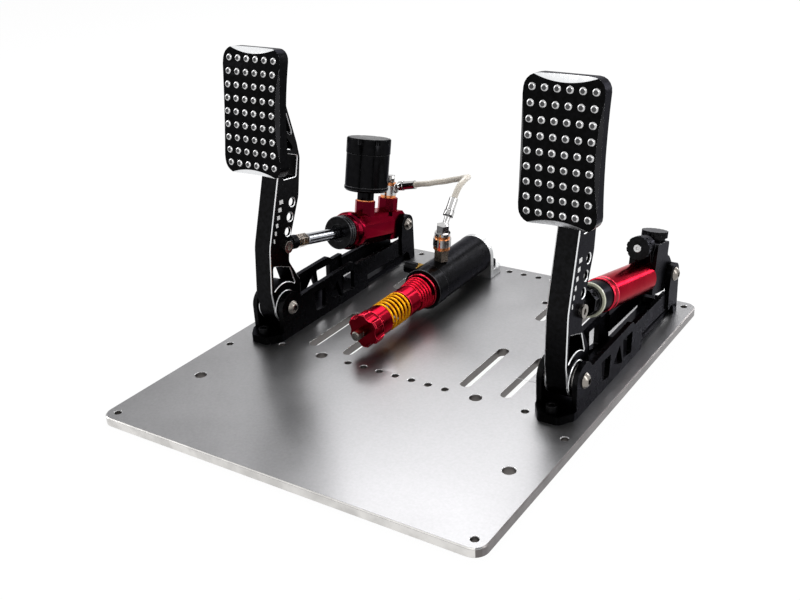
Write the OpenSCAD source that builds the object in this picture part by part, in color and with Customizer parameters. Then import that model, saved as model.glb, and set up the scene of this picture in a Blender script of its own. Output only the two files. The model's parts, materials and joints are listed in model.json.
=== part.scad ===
// Two-pedal set on a base plate: a hydraulic brake on the left with a spring-loaded slave cylinder
// beside it, and a throttle with a damper on the right.
// X is the driver's right, Y points away from the driver, Z is up. The origin is the centre of
// the base plate's underside. All sizes are in millimetres.

/* [Base plate] */
// Width of the base plate
plate_w = 380; // [374:2:420]
// Depth of the base plate, front to back
plate_d = 448; // [440:2:500]
// Thickness of the base plate
plate_t = 8; // [6:0.5:12]
// Corner radius of the base plate
plate_corner_r = 12; // [6:1:18]
// Chamfer along the plate's top edge
plate_chamfer = 1; // [0.5:0.25:2]
// Distance of the corner holes from the plate's edges
corner_inset = 11; // [10:0.5:14]
// Diameter of the small fixing holes
fixing_hole_d = 6.6; // [6.2:0.1:7]
// Chamfer at the mouth of each plate hole
hole_chamfer = 0.4; // [0.2:0.1:0.8]
// Diameter of the large cockpit holes, and width of the slots
cockpit_hole_d = 11; // [9:0.5:12]
// Pitch of the rows of fixing holes
row_pitch = 17.56; // [15:0.02:18]
// Length of an adjustment slot, end to end
slot_l = 81; // [60:1:82]

/* [Pedal frames] */
// Distance of the brake's centre plane from the plate's left edge
brake_inset = 36.5; // [32:0.5:40]
// Distance of the throttle's centre plane from the plate's right edge
throttle_inset = 33.7; // [32:0.1:40]
// Distance of the pedal pivots from the plate's front edge
pivot_setback = 205.7; // [195:0.1:208]
// Height of the pedal pivots above the plate
pivot_z = 29; // [28:0.5:34]
// Width over the two walls of a frame
frame_w = 37.3; // [36:0.1:42]
// Thickness of a frame wall
wall_t = 4.8; // [4:0.1:5.4]
// Radius of a wall's boss around the pivot
boss_r = 16; // [14:0.5:18]
// Height of the front wall's top edge above the plate
deck_z = 37; // [36:0.5:40]
// Length of the tall front wall behind the pivot
deck_l = 127; // [120:1:135]
// Thickness of the floor between the walls
floor_t = 7.5; // [6:0.5:9]
// Length of the floor's lug in front of the walls
lug_l = 16.7; // [15:0.1:20]
// Distance from the pedal pivot back to the rear pivot
rear_dy = 210; // [206:1:214]
// Height of the rear pivot above the plate
rear_z = 43.5; // [42:0.5:48]

/* [Pedal arms] */
// Width of a pedal arm
arm_w = 20; // [18:0.5:22]
// Rearward lean of the brake arm against the throttle arm, in degrees
brake_lean = 2.6; // [0:0.2:5]
// Pin of the pushrod, measured back from the arm's pivot
pin_dy = 6.8; // [5:0.2:8]
// Pin of the pushrod, measured up from the arm's pivot
pin_dz = 59.5; // [58:0.5:62]
// Pitch of the arm's pin holes
pin_pitch = 14.5; // [13:0.5:15]
// Radius of the pushrod pins
pin_r = 4; // [3.5:0.1:4.4]
// Width of a pedal face
face_w = 66; // [64:1:80]
// How much lower the brake's face is mounted than the throttle's
brake_face_drop = 3.6; // [0:0.2:5]
// Height of a pedal face
face_h = 116; // [112:1:130]
// Thickness of a pedal face
face_t = 12; // [10:0.5:14]
// Radius of the pedal face's curve
face_r = 343; // [300:1:400]
// Corner radius of a pedal face
face_corner_r = 11; // [8:0.5:14]
// Depth of the scooped bevels around a pedal face
face_bevel = 5.5; // [3:0.5:6]
// Hollowed edge at the face plates' sides
face_side_bevel = 3.2; // [2:0.2:5.5]
// Grip studs across a pedal face
stud_cols = 6; // [4:1:6]
// Grip studs up a pedal face
stud_rows = 9; // [6:1:9]
// Stud pitch across
stud_px = 10.3; // [9:0.1:10.5]
// Stud pitch up
stud_pz = 12; // [10:0.1:12.2]
// Diameter of a stud's head
stud_d = 6.3; // [5:0.1:7]

/* [Master cylinder] */
// Diameter of the rods where they enter the rod ends
rod_d = 9.5; // [8:0.1:10]
// Diameter of the brake's polished pushrod
polished_d = 11.8; // [11:0.2:13]
// Distance from the rear pivot forward to the master cylinder's mouth
master_l = 107.4; // [102:0.2:112]
// Half height of the master cylinder's eight-sided body
master_half = 17; // [16:0.5:18]
// Bore of the master cylinder
master_bore_d = 19; // [16:0.5:20]
// Distance from the rear pivot forward to the reservoir's axis
reservoir_s = 60; // [50:0.5:64]
// Distance from the rear pivot forward to the outlet's axis
outlet_s = 15.6; // [12:0.2:18]
// Diameter of the reservoir
reservoir_d = 46.5; // [40:0.5:50]
// Height of the reservoir's top above the cylinder's axis
reservoir_top = 97.5; // [90:0.5:110]
// Height of the reservoir's cap
cap_h = 16; // [12:0.5:20]

/* [Slave cylinder] */
// Distance of the slave cylinder's axis from the plate's centre line, to the left
slave_x = 47; // [44:0.5:50]
// Height of the slave cylinder's axis above the plate
slave_z = 25.5; // [24:0.5:30]
// Distance of the slave's end plate from the plate's rear edge
slave_setback = 38; // [34:1:44]
// Diameter of the slave cylinder's body
slave_d = 41.6; // [38:0.2:44]
// Length of the slave cylinder's body with its collar
slave_l = 104.5; // [98:0.5:106]
// Diameter of the collar at the body's mouth
collar_d = 42.8; // [42:0.2:46]
// Diameter of the slave's shaft
shaft_d = 9.6; // [8:0.2:11]
// Bore of the slave cylinder
slave_bore_d = 28; // [24:0.5:30]
// Outer diameter of the springs
spring_d = 30; // [28:0.5:32]
// How much the red spring's radius grows towards the flange
red_grow = 2.2; // [0:0.2:3]
// Length of the yellow spring
yellow_l = 34; // [31:1:38]
// Turns of the yellow spring
yellow_turns = 5.5; // [4:0.5:6]
// Length of the red spring
red_l = 22; // [20:1:26]
// Turns of the red spring
red_turns = 5; // [3:0.5:5]
// Length of the spacer between the springs
spacer_l = 16; // [12:1:18]
// Length of the front cup
cup_l = 13.5; // [10:0.5:15]
// Length of the star knob
star_l = 16; // [15:1:20]

/* [Damper] */
// Diameter of the damper's tube
damper_d = 31.4; // [31:0.2:34]
// Distance from the rear pivot forward to the tube's mouth
damper_l = 147; // [144:0.5:147.5]
// Distance from the rear pivot forward to the tube's rear end
damper_rear = 16; // [15.5:0.5:20]
// Diameter of the round adjuster knob
knob_d = 22.5; // [18:0.5:24]
// Height of the adjuster knob's axis above the tube's axis
knob_h = 30.5; // [30:0.5:34]
// Diameter of the knurled dial on the damper's block
dial_d = 25; // [20:0.5:26]

/* [Hose] */
// Diameter of the brake hose
hose_d = 6.4; // [5:0.1:7]

/* [Hidden] */

$fn = 48;
eps = 0.01;

// Clearances: fixed pieces in one body, running fits, and parts that pass each other
fit_gap = 0.1;
run_gap = 0.05;
side_gap = 0.45;
open_pivot_gap = 0.8;

brake_x = brake_inset - plate_w / 2;
throttle_x = plate_w / 2 - throttle_inset;
pivot_y = pivot_setback - plate_d / 2;
frame_half = frame_w / 2;
inner_half = frame_half - wall_t;
arm_half = arm_w / 2;

// Pin and rear pivot in a pedal's own side plane, and the line of the cylinder between them
function pin_at(lean) = [
  pin_dy * cos(lean) + pin_dz * sin(lean),
  pivot_z - pin_dy * sin(lean) + pin_dz * cos(lean)
];
function cylinder_l(lean) = norm([rear_dy, rear_z] - pin_at(lean));
function slope(lean) = atan2(pin_at(lean)[1] - rear_z, rear_dy - pin_at(lean)[0]);

// Outline with rounded corners: each point is [y, z, radius]
function unit(v) = v / norm(v);
function corner(a, b, c, r, n = 5) =
  let (
    u = unit(a - b),
    v = unit(c - b),
    half = acos(max(-1, min(1, u * v))) / 2,
    centre = b + unit(u + v) * r / sin(half),
    first = b + u * r / tan(half) - centre,
    last = b + v * r / tan(half) - centre,
    a0 = atan2(first[1], first[0]),
    turn = atan2(first[0] * last[1] - first[1] * last[0], first * last)
  )
  [for (k = [0:n]) centre + r * [cos(a0 + turn * k / n), sin(a0 + turn * k / n)]];
function xy(p) = [p[0], p[1]];
function outline(p) = [
  for (i = [0:len(p) - 1])
    each (p[i][2] == 0
      ? [xy(p[i])]
      : corner(xy(p[(i + len(p) - 1) % len(p)]), xy(p[i]), xy(p[(i + 1) % len(p)]), p[i][2]))
];

// Plane figures are drawn as Y and Z, and stand up across X
module across_x(width) {
  rotate([90, 0, 90])
    translate([0, 0, -width / 2])
      linear_extrude(width)
        children();
}
module bar_x(r, length) {
  rotate([0, 90, 0])
    cylinder(r = r, h = length, center = true);
}
module bar_y(r, y0, y1, sides = 48) {
  translate([0, y0, 0])
    rotate([-90, 0, 0])
      rotate([0, 0, 180 / sides])
        cylinder(r = r, h = y1 - y0, $fn = sides);
}
// A turned piece along Y, from points of radius and Y
module turned(profile) {
  rotate([-90, 0, 0])
    rotate_extrude()
      polygon(profile);
}
module hex(across_flats, height) {
  cylinder(r = across_flats / sqrt(3), h = height, $fn = 6);
}

// Places that the pieces share
module at_brake() {
  translate([brake_x, pivot_y, plate_t])
    children();
}
module at_throttle() {
  translate([throttle_x, pivot_y, plate_t])
    children();
}
module at_arm(lean) {
  translate([0, 0, pivot_z])
    rotate([-lean, 0, 0])
      children();
}
module at_pin(lean) {
  translate([0, pin_at(lean)[0], pin_at(lean)[1]])
    rotate([-slope(lean), 0, 0])
      children();
}
module at_rear(lean) {
  translate([0, rear_dy, rear_z])
    rotate([-slope(lean), 0, 0])
      children();
}
module at_slave() {
  translate([-slave_x, plate_d / 2 - slave_setback, plate_t + slave_z])
    children();
}

// Base plate
slot_x = [64.5, 105];
slot_front_y = 9.5;
slot_rear_y = 158.5;
row_front_y = pivot_y - boss_r - lug_l / 2 - 0.1;
row_rear_y = plate_d / 2 - 11.4;
row_count = 7;
foot_screw_y = pivot_y + rear_dy + 6.5;
slave_bolt_x = 12;
slave_bolt_y = plate_d / 2 - slave_setback + 17;
cockpit_front = [160.8, 97.1];
cockpit_rear_x = 83.8;
module edge_prism(length, width) {
  linear_extrude(length, center = true)
    polygon([
      [-width / 2, 0],
      [-width / 2 + plate_chamfer, plate_chamfer],
      [width / 2 - plate_chamfer, plate_chamfer],
      [width / 2, 0]
    ]);
}
module plate_blank() {
  wide = plate_w - 2 * plate_corner_r;
  deep = plate_d - 2 * plate_corner_r;
  body_h = plate_t - plate_chamfer;
  translate([-wide / 2, -plate_d / 2, 0])
    cube([wide, plate_d, body_h]);
  translate([-plate_w / 2, -deep / 2, 0])
    cube([plate_w, deep, body_h]);
  for (sx = [-1, 1], sy = [-1, 1])
    translate([sx * wide / 2, sy * deep / 2, 0]) {
      cylinder(r = plate_corner_r, h = body_h);
      translate([0, 0, body_h])
        cylinder(r1 = plate_corner_r, r2 = plate_corner_r - plate_chamfer, h = plate_chamfer);
    }
  translate([0, 0, body_h])
    rotate([90, 0, 90])
      edge_prism(wide, plate_d);
  translate([0, 0, body_h])
    rotate([90, 0, 0])
      edge_prism(deep, plate_w);
}
module plate_hole(x, y, d) {
  translate([x, y, -1])
    cylinder(d = d, h = plate_t + 2);
  translate([x, y, plate_t - hole_chamfer])
    cylinder(d1 = d, d2 = d + 2 * hole_chamfer + 2 * eps, h = hole_chamfer + eps);
}
module plate_slot(x, y) {
  reach = slot_l / 2 - cockpit_hole_d / 2;
  for (s = [-1, 1])
    translate([x, y + s * reach, -1])
      cylinder(d = cockpit_hole_d, h = plate_t + 2);
  translate([x - cockpit_hole_d / 2, y - reach, -1])
    cube([cockpit_hole_d, 2 * reach, plate_t + 2]);
}
module base_plate() {
  row_half = (row_count - 1) / 2;
  color("silver")
    difference() {
      plate_blank();
      for (k = [-row_half:row_half], y = [row_front_y, row_rear_y])
        plate_hole(k * row_pitch, y, fixing_hole_d);
      for (s = [-1, 1]) {
        plate_hole(s * (plate_w / 2 - corner_inset), plate_d / 2 - corner_inset, fixing_hole_d);
        plate_hole(s * (plate_w / 2 - corner_inset), corner_inset - plate_d / 2, fixing_hole_d);
        plate_hole(s * (plate_w / 2 - corner_inset), row_front_y - 23, fixing_hole_d);
        plate_hole(s * cockpit_front[0], cockpit_front[1] - plate_d / 2, cockpit_hole_d);
        plate_hole(s * cockpit_rear_x, row_front_y, cockpit_hole_d);
        plate_hole(s * 7.5 * row_pitch, row_front_y, fixing_hole_d);
        plate_hole(s * 7.5 * row_pitch, row_rear_y, fixing_hole_d);
        for (x = slot_x) {
          plate_slot(s * x, slot_front_y);
          plate_slot(s * x, slot_rear_y);
        }
      }
      plate_hole(3 * row_pitch, slot_rear_y, fixing_hole_d);
      for (x = [brake_x, throttle_x]) {
        plate_hole(x, row_front_y, fixing_hole_d);
        translate([x, foot_screw_y, -1])
          cylinder(d = fixing_hole_d, h = plate_t + 2);
        translate([x, foot_screw_y, -eps])
          cylinder(d1 = csk_d + 1, d2 = fixing_hole_d, h = csk_h + eps);
      }
      for (s = [-1, 1])
        translate([s * slave_bolt_x - slave_x, slave_bolt_y, -1])
          cylinder(d = fixing_hole_d, h = plate_t + 2);
    }
}

// Screws that hold the pedal frames and the slave cylinder on the plate
screw_r = 3;
csk_d = 11;
csk_h = 3;
foot_block_h = 12;
slave_foot_h = 9;
module cap_screw(seat, length, head_d = 10, head_h = 6) {
  translate([0, 0, seat - length])
    cylinder(r = screw_r, h = length);
  difference() {
    translate([0, 0, seat])
      cylinder(d = head_d, h = head_h);
    translate([0, 0, seat + head_h / 2])
      hex(5, head_h);
  }
}
module module_screws() {
  color("dimgray") {
    for (x = [brake_x, throttle_x]) {
      translate([x, row_front_y, 0])
        cap_screw(plate_t + floor_t, plate_t + floor_t - 0.5);
      translate([x, foot_screw_y, 0.3])
        difference() {
          union() {
            cylinder(r = screw_r, h = plate_t + foot_block_h - 2);
            cylinder(d1 = csk_d, d2 = 2 * screw_r, h = csk_h);
          }
          translate([0, 0, -1])
            hex(4, 3);
        }
    }
    for (s = [-1, 1])
      translate([s * slave_bolt_x - slave_x, slave_bolt_y, 0])
        cap_screw(plate_t + slave_foot_h, plate_t + slave_foot_h - 0.5);
  }
}

// Pedal frames
rail_inset = 2.5;
rail_low = 11;
rail_top = 30;
upright_l = 13.7;
upright_r = 11;
module wall_front_shape() {
  difference() {
    union() {
      translate([0, pivot_z])
        circle(r = boss_r);
      polygon(outline([
        [-boss_r, 0, 0],
        [-boss_r, pivot_z, 0],
        [0, pivot_z, 0],
        [boss_r - 2, deck_z - 1, 2],
        [30, deck_z, 20],
        [deck_l - 24, deck_z + 1, 4],
        [deck_l - 18, deck_z - 4, 4],
        [deck_l, deck_z - 4, 1],
        [deck_l, 0, 0]
      ]));
    }
    polygon(outline([
      [33, deck_z - 7, 2], [deck_l - 72.7, deck_z - 8.5, 1.5],
      [deck_l - 75.7, 8, 1.5], [36.5, 10, 2]
    ]));
    polygon(outline([
      [deck_l - 52.7, deck_z - 8.7, 1], [deck_l - 66.7, 15, 1.2], [deck_l - 45.7, 6.5, 1.2]
    ]));
    polygon(outline([
      [deck_l - 45.7, deck_z - 7, 1.5], [deck_l - 23.2, deck_z - 8, 1.5],
      [deck_l - 24.7, 8, 1.5], [deck_l - 44.2, 11, 1.5]
    ]));
    translate([0, pivot_z])
      circle(r = shaft_r + fit_gap);
  }
}
module upright_shape() {
  back = rear_dy + upright_r;
  front = rear_dy - upright_l;
  difference() {
    union() {
      translate([rear_dy, rear_z])
        circle(r = upright_r);
      polygon(outline([
        [front, rail_low - 1, 0], [front, rail_top, 0], [rear_dy - upright_r, rear_z, 0],
        [back, rear_z, 0], [back, 0, 0], [back - 9, 0, 0], [back - 11.5, 9, 2],
        [back - 15.5, 12, 2], [back - 21, rail_low - 0.5, 0]
      ]));
    }
    translate([rear_dy, rear_z])
      circle(r = bolt_r + fit_gap);
  }
}
module wall(side) {
  middle = side * (frame_half - wall_t / 2);
  color("#1b1b1d") {
    translate([middle, 0, 0])
      across_x(wall_t)
        wall_front_shape();
    translate([middle, 0, 0])
      across_x(wall_t)
        upright_shape();
    translate([middle - side * rail_inset, 0, 0])
      across_x(wall_t)
        polygon([
          [deck_l - 4, rail_low + 1.5], [deck_l - 4, rail_top],
          [rear_dy - upright_l + 3, rail_top - 2], [rear_dy - upright_l + 3, rail_low - 0.5]
        ]);
  }
}
module brake_left_wall() {
  at_brake() wall(-1);
}
module brake_right_wall() {
  at_brake() wall(1);
}
module throttle_left_wall() {
  at_throttle() wall(-1);
}
module throttle_right_wall() {
  at_throttle() wall(1);
}
floor_tail_t = 5;
module pedal_floor() {
  front = -boss_r - fit_gap;
  tip = front - lug_l;
  color("#161617")
    difference() {
      union() {
        translate([-inner_half, front - eps, 0])
          cube([2 * inner_half, deck_l - front - 4, floor_t]);
        translate([-inner_half, deck_l - 6, 0])
          cube([2 * inner_half, rear_dy + upright_r - 9 - fit_gap - deck_l + 6, floor_tail_t]);
        linear_extrude(floor_t)
          polygon(outline([
            [-frame_half, front, 0], [-frame_half + 1, front - 4, 2], [-9, tip, 5],
            [9, tip, 5], [frame_half - 1, front - 4, 2], [frame_half, front, 0]
          ]));
      }
      translate([0, row_front_y - pivot_y, -1])
        cylinder(r = screw_r + 0.3, h = floor_t + 2);
    }
}
module brake_floor() {
  at_brake() pedal_floor();
}
module throttle_floor() {
  at_throttle() pedal_floor();
}
module rear_foot_blocks() {
  color("#161617")
    for (x = [brake_x, throttle_x])
      translate([x, pivot_y + rear_dy + upright_r, plate_t])
        difference() {
          translate([-inner_half, -9, 0])
            cube([2 * inner_half, 9, foot_block_h]);
          translate([0, foot_screw_y - pivot_y - rear_dy - upright_r, -1])
            cylinder(r = screw_r + fit_gap, h = foot_block_h + 2);
        }
}

// Pivots
shaft_r = 6;
bolt_r = 4;
bearing_r = 10;
head_r = 7;
head_h = 4.4;
module button_head(side, face) {
  translate([side * face, 0, 0])
    rotate([0, side * 90, 0])
      difference() {
        intersection() {
          cylinder(r = head_r, h = head_h);
          translate([0, 0, head_h - 8.2])
            sphere(r = 8.2);
        }
        translate([0, 0, head_h / 2])
          hex(5, head_h);
      }
}
module at_pivots() {
  at_brake()
    translate([0, 0, pivot_z])
      children();
  at_throttle()
    translate([0, 0, pivot_z])
      children();
}
module pivot_shafts() {
  color("#a8a9ad")
    at_pivots()
      difference() {
        bar_x(shaft_r, frame_w);
        for (s = [-1, 1])
          translate([s * frame_half, 0, 0])
            bar_x(bolt_r + fit_gap, 26);
      }
}
module pivot_bearings() {
  color("#8d8f93")
    at_pivots()
      for (s = [-1, 1])
        difference() {
          union() {
            translate([s * (arm_half - 3.5), 0, 0])
              bar_x(bearing_r - run_gap, 7);
            translate([s * (arm_half + inner_half) / 2, 0, 0])
              bar_x(bearing_r + 2.5, inner_half - arm_half - 2 * run_gap);
          }
          bar_x(shaft_r + fit_gap, frame_w);
        }
}
module pivot_bolts() {
  color("#c9cacd")
    at_pivots()
      for (s = [-1, 1]) {
        button_head(s, frame_half);
        translate([s * (frame_half - 5.5), 0, 0])
          bar_x(bolt_r, 11);
      }
}
module rear_pivot_bolts() {
  color("#c9cacd")
    for (x = [brake_x, throttle_x])
      translate([x, pivot_y + rear_dy, plate_t + rear_z]) {
        bar_x(bolt_r, frame_w);
        button_head(1, frame_half);
        translate([-frame_half - 6, 0, 0])
          rotate([0, 90, 0])
            hex(13, 6);
      }
}

// Pedal arms, drawn around the pivot as Y and Z
slot_half = 6.2;
slot_low = 49.5;
slot_high = 120;
function pin_hole(k) = [pin_dy, pin_dz] + k * pin_pitch * unit([4.5, 13.8]);
arm_outline = [
  [-15.6, -5, 3], [-19.4, 18.6, 12], [-16.9, 64, 40], [3, 134, 8], [2, 141, 2], [-22, 146, 0],
  [-22, 238, 0], [10, 240, 5], [22.3, 193, 40], [33.8, 157, 20], [36.9, 142, 12], [31.3, 104, 25],
  [14, 64, 20], [10.3, 43.6, 8], [25, 20, 5], [24, 2, 6], [12, -10, 0]
];
face_y = -19.1;
face_z = 197.7;
face_lean = 5.4;
module at_face(drop = 0) {
  translate([0, face_y, face_z])
    rotate([-face_lean, 0, 0])
      translate([0, 0, -drop])
        children();
}
module face_round(r, length) {
  translate([0, face_r, 0])
    rotate([0, 90, 0])
      cylinder(r = r, h = length, center = true, $fn = 200);
}
module arm_shape() {
  difference() {
    union() {
      polygon(outline(arm_outline));
      circle(r = 16.4);
    }
    circle(r = bearing_r);
    for (k = [0:3])
      translate(pin_hole(k))
        circle(r = pin_r + fit_gap);
    difference() {
      polygon(outline([[-13.5, 45, 2], [10, 37, 2], [17, 17, 0], [-15.5, 17, 0]]));
      circle(r = 24.5);
    }
    polygon(outline([[9, 126, 2], [28.5, 124.5, 2], [32.5, 144, 2], [13, 150, 2]]));
    polygon(outline([[6, 158, 1.5], [28, 151, 1.5], [6, 180, 1.5]]));
    polygon(outline([[9, 185, 1.5], [28.5, 160, 1.5], [18.5, 191, 1.5]]));
    polygon(outline([[2, 191, 2], [14.5, 198, 2], [6, 228, 2]]));
  }
}
module arm(face_drop = 0) {
  color("#1b1b1d")
    difference() {
      intersection() {
        across_x(arm_w)
          arm_shape();
        union() {
          translate([-arm_half - 1, -40, -40])
            cube([arm_w + 2, 100, 179]);
          at_face(face_drop)
            face_round(face_r - face_t - 0.02, arm_w + 2);
        }
      }
      across_x(2 * slot_half)
        polygon([[-4, slot_low], [9, slot_high], [60, slot_high], [60, slot_low]]);
    }
}
module face_plate() {
  half_h = face_h / 2;
  top_r = 120;
  side_r = 2000;
  front_dip = half_h * half_h / (2 * face_r);
  color("#18181a")
    difference() {
      intersection() {
        translate([0, face_t + 12, 0])
          rotate([90, 0, 0])
            linear_extrude(face_t + 14)
              polygon(outline([for (c = [[-1, -1], [1, -1], [1, 1], [-1, 1]])
                [c[0] * face_w / 2, c[1] * half_h, face_corner_r]]));
        difference() {
          face_round(face_r, face_w + 2);
          face_round(face_r - face_t, face_w + 4);
        }
      }
      for (s = [-1, 1]) {
        mirror([0, 0, s < 0 ? 1 : 0])
          translate([0, front_dip - 1, half_h - face_bevel])
            rotate([-45, 0, 0])
              translate([0, -top_r, 0])
                cylinder(r = top_r, h = 60, center = true, $fn = 200);
        mirror([s < 0 ? 1 : 0, 0, 0])
          translate([face_w / 2 - face_side_bevel, 0, 0])
            rotate([0, 0, 45])
              translate([0, -side_r, 0])
                rotate([0, 90, 0])
                  cylinder(r = side_r, h = 60, center = true, $fn = 400);
      }
      at_studs()
        translate([0, 0, -stud_pin_l - 0.2])
          cylinder(r = stud_pin_r + fit_gap, h = stud_pin_l + 1.2, $fn = 16);
    }
}
stud_pin_r = 1.5;
stud_pin_l = 3;
stud_rise = 1.4;
module at_studs() {
  for (i = [0:stud_cols - 1], k = [0:stud_rows - 1])
    translate([0, face_r, 0])
      rotate([-(k - (stud_rows - 1) / 2) * stud_pz / face_r * 180 / PI, 0, 0])
        translate([(i - (stud_cols - 1) / 2) * stud_px, -face_r, 0])
          rotate([90, 0, 0])
            children();
}
module studs() {
  half = stud_d / 2;
  dome_r = (half * half + stud_rise * stud_rise) / (2 * stud_rise);
  color("#d9dadc")
    at_studs() {
      intersection() {
        translate([0, 0, stud_rise - dome_r])
          sphere(r = dome_r, $fn = 32);
        cylinder(r = half + 1, h = stud_rise + 1, $fn = 32);
      }
      translate([0, 0, -stud_pin_l])
        cylinder(r = stud_pin_r, h = stud_pin_l + 0.2, $fn = 16);
    }
}
module pin_bolt() {
  color("#b9babd")
    translate([0, pin_dy, pin_dz]) {
      bar_x(pin_r, arm_w);
      translate([arm_half, 0, 0])
        rotate([0, 90, 0])
          difference() {
            cylinder(r = 6, h = 4);
            translate([0, 0, 2])
              hex(5, 4);
          }
      translate([-arm_half - 4, 0, 0])
        rotate([0, 90, 0])
          hex(12, 4);
    }
}
module brake_arm() {
  at_brake() at_arm(brake_lean) arm(brake_face_drop);
}
module brake_face() {
  at_brake() at_arm(brake_lean) at_face(brake_face_drop) face_plate();
}
module brake_studs() {
  at_brake() at_arm(brake_lean) at_face(brake_face_drop) studs();
}
module brake_pin_bolt() {
  at_brake() at_arm(brake_lean) pin_bolt();
}
module throttle_arm() {
  at_throttle() at_arm(0) arm();
}
module throttle_face() {
  at_throttle() at_arm(0) at_face() face_plate();
}
module throttle_studs() {
  at_throttle() at_arm(0) at_face() studs();
}
module throttle_pin_bolt() {
  at_throttle() at_arm(0) pin_bolt();
}

// Pushrod of the brake
rod_r = rod_d / 2;
eye_r = 8.2;
eye_w = 10;
stem_l = 25.5;
stem_thick_l = 8;
nut_l = 7.5;
nut_flats = 12.4;
piston_front = 21;
piston_l = 14;
module rod_end(stem_r, rod_hole_r) {
  difference() {
    union() {
      bar_x(eye_r, eye_w);
      bar_y(stem_r, eye_r - 2, stem_l);
      bar_y(stem_r + 1.3, stem_l - stem_thick_l, stem_l);
    }
    bar_x(pin_r + open_pivot_gap, eye_w + 2);
    bar_y(rod_hole_r, stem_l - 14, stem_l + 1);
  }
}
module brake_rod_end() {
  color("#2a2a2c")
    at_brake() at_pin(brake_lean)
      rod_end(5.8, rod_r + fit_gap);
}
module brake_lock_nuts() {
  color("#9b9a96")
    at_brake() at_pin(brake_lean)
      for (y = [stem_l, stem_l + nut_l + 1])
        difference() {
          union() {
            bar_y(nut_flats / sqrt(3), y, y + nut_l, 6);
            bar_y(nut_flats / 2 - 0.2, y, y + nut_l + 0.9);
          }
          bar_y(rod_r + fit_gap, y - 1, y + nut_l + 2);
        }
}
module brake_pushrod() {
  rod_tip = cylinder_l(brake_lean) - master_l + piston_front;
  polished_from = stem_l + 2 * nut_l + 2.5;
  color("#c4c6ca")
    at_brake() at_pin(brake_lean)
      turned([
        [0, stem_l - 13.5], [rod_r, stem_l - 13.5], [rod_r, polished_from],
        [polished_d / 2 - 0.8, polished_from], [polished_d / 2, polished_from + 0.8],
        [polished_d / 2, rod_tip], [0, rod_tip]
      ]);
}
module master_piston() {
  front = piston_front - master_l;
  color("#b08d3c")
    at_brake() at_rear(brake_lean)
      bar_y(master_bore_d / 2 - run_gap, front, front + piston_l);
}

// Master cylinder, drawn along Y from the rear pivot, with Z square to its axis
front_cap_l = 9.5;
front_cap_r = 17.6;
front_ring_l = 17.5;
front_ring_r = 20.2;
lug_half = inner_half - side_gap;
narrow_from = 25;
boss_flats = 20.5;
boss_top = 30;
module octagon_y(flat_half, y0, y1) {
  translate([0, y0, 0])
    rotate([-90, 0, 0])
      rotate([0, 0, 22.5])
        cylinder(r = flat_half / cos(22.5), h = y1 - y0, $fn = 8);
}
module boss(y, top) {
  translate([0, y, 0])
    rotate([0, 0, 22.5])
      cylinder(r = boss_flats / 2 / cos(22.5), h = top, $fn = 8);
}
module rear_lug(top) {
  across_x(2 * lug_half)
    polygon(outline([
      [-narrow_from, -15.5, 0], [-narrow_from, top, 0], [-5, top, 1.5], [7, 6, 3], [8.5, -5, 5],
      [0, -10, 5], [-12, -15.5, 2]
    ]));
}
module master_body() {
  ring_from = front_cap_l - master_l;
  ring_to = ring_from + front_ring_l;
  color("#a3101c")
    at_brake() at_rear(brake_lean)
      difference() {
        union() {
          turned([
            [0, ring_from], [front_cap_r + 0.4, ring_from], [front_cap_r + 0.8, ring_from + 0.4],
            [front_cap_r + 0.8, ring_from + 4.5], [front_ring_r, ring_from + 7.5],
            [front_ring_r, ring_to - 3], [17.6, ring_to - 0.5], [0, ring_to - 0.5]
          ]);
          octagon_y(master_half, ring_to - 6, -narrow_from);
          rear_lug(15.5);
          boss(-reservoir_s, boss_top);
          boss(-outlet_s, boss_top - 0.5);
        }
        bar_y(master_bore_d / 2, ring_from - 1, -narrow_from - 2);
        bar_x(bolt_r + run_gap, 2 * lug_half + 2);
        translate([0, -reservoir_s, 0])
          cylinder(r = 2, h = boss_top + 1, $fn = 24);
        translate([0, -reservoir_s, boss_top - 8])
          cylinder(r = 6 + fit_gap, h = 10);
        translate([0, -outlet_s, boss_top - 12])
          cylinder(r = 5 + fit_gap, h = 20);
        translate([0, -outlet_s, 0])
          rotate([90, 0, 0])
            cylinder(r = 1.5, h = narrow_from, $fn = 24);
        translate([0, -outlet_s, 0])
          cylinder(r = 1.5, h = boss_top, $fn = 24);
      }
}
module master_front_cap() {
  back = front_cap_l - master_l;
  color("#1b1b1d")
    at_brake() at_rear(brake_lean)
      difference() {
        turned([
          [0, -master_l], [front_cap_r - 0.5, -master_l], [front_cap_r, -master_l + 0.5],
          [front_cap_r, back - 6], [front_cap_r - 0.7, back - 5.7], [front_cap_r - 0.7, back - 5],
          [front_cap_r, back - 4.7], [front_cap_r, back - 2.6], [front_cap_r - 0.7, back - 2.3],
          [front_cap_r - 0.7, back - 1.6], [front_cap_r, back - 1.3], [front_cap_r, back], [0, back]
        ]);
        bar_y(polished_d / 2 + run_gap, -master_l - 1, back + 1);
        bar_y(9, -master_l - 1, -master_l + 3);
      }
}
reservoir_low = 41;
module reservoir_body() {
  r = reservoir_d / 2;
  high = reservoir_top - cap_h;
  color("#19191b")
    at_brake() at_rear(brake_lean)
      translate([0, -reservoir_s, 0])
        difference() {
          union() {
            translate([0, 0, boss_top + 1])
              cylinder(r = 9, h = reservoir_low - boss_top);
            translate([0, 0, boss_top - 7.5])
              cylinder(r = 6, h = 10);
            translate([0, 0, reservoir_low])
              cylinder(r1 = r - 1.5, r2 = r + 0.5, h = 2);
            translate([0, 0, reservoir_low + 2])
              cylinder(r = r + 0.5, h = 3);
            translate([0, 0, reservoir_low + 5])
              cylinder(r = r, h = high - reservoir_low - 5.5);
            translate([0, 0, high - 1])
              cylinder(r = r - 2.6, h = 7);
          }
          translate([0, 0, reservoir_low + 3])
            cylinder(r = r - 5, h = high);
          cylinder(r = 2, h = high, $fn = 24);
        }
}
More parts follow.
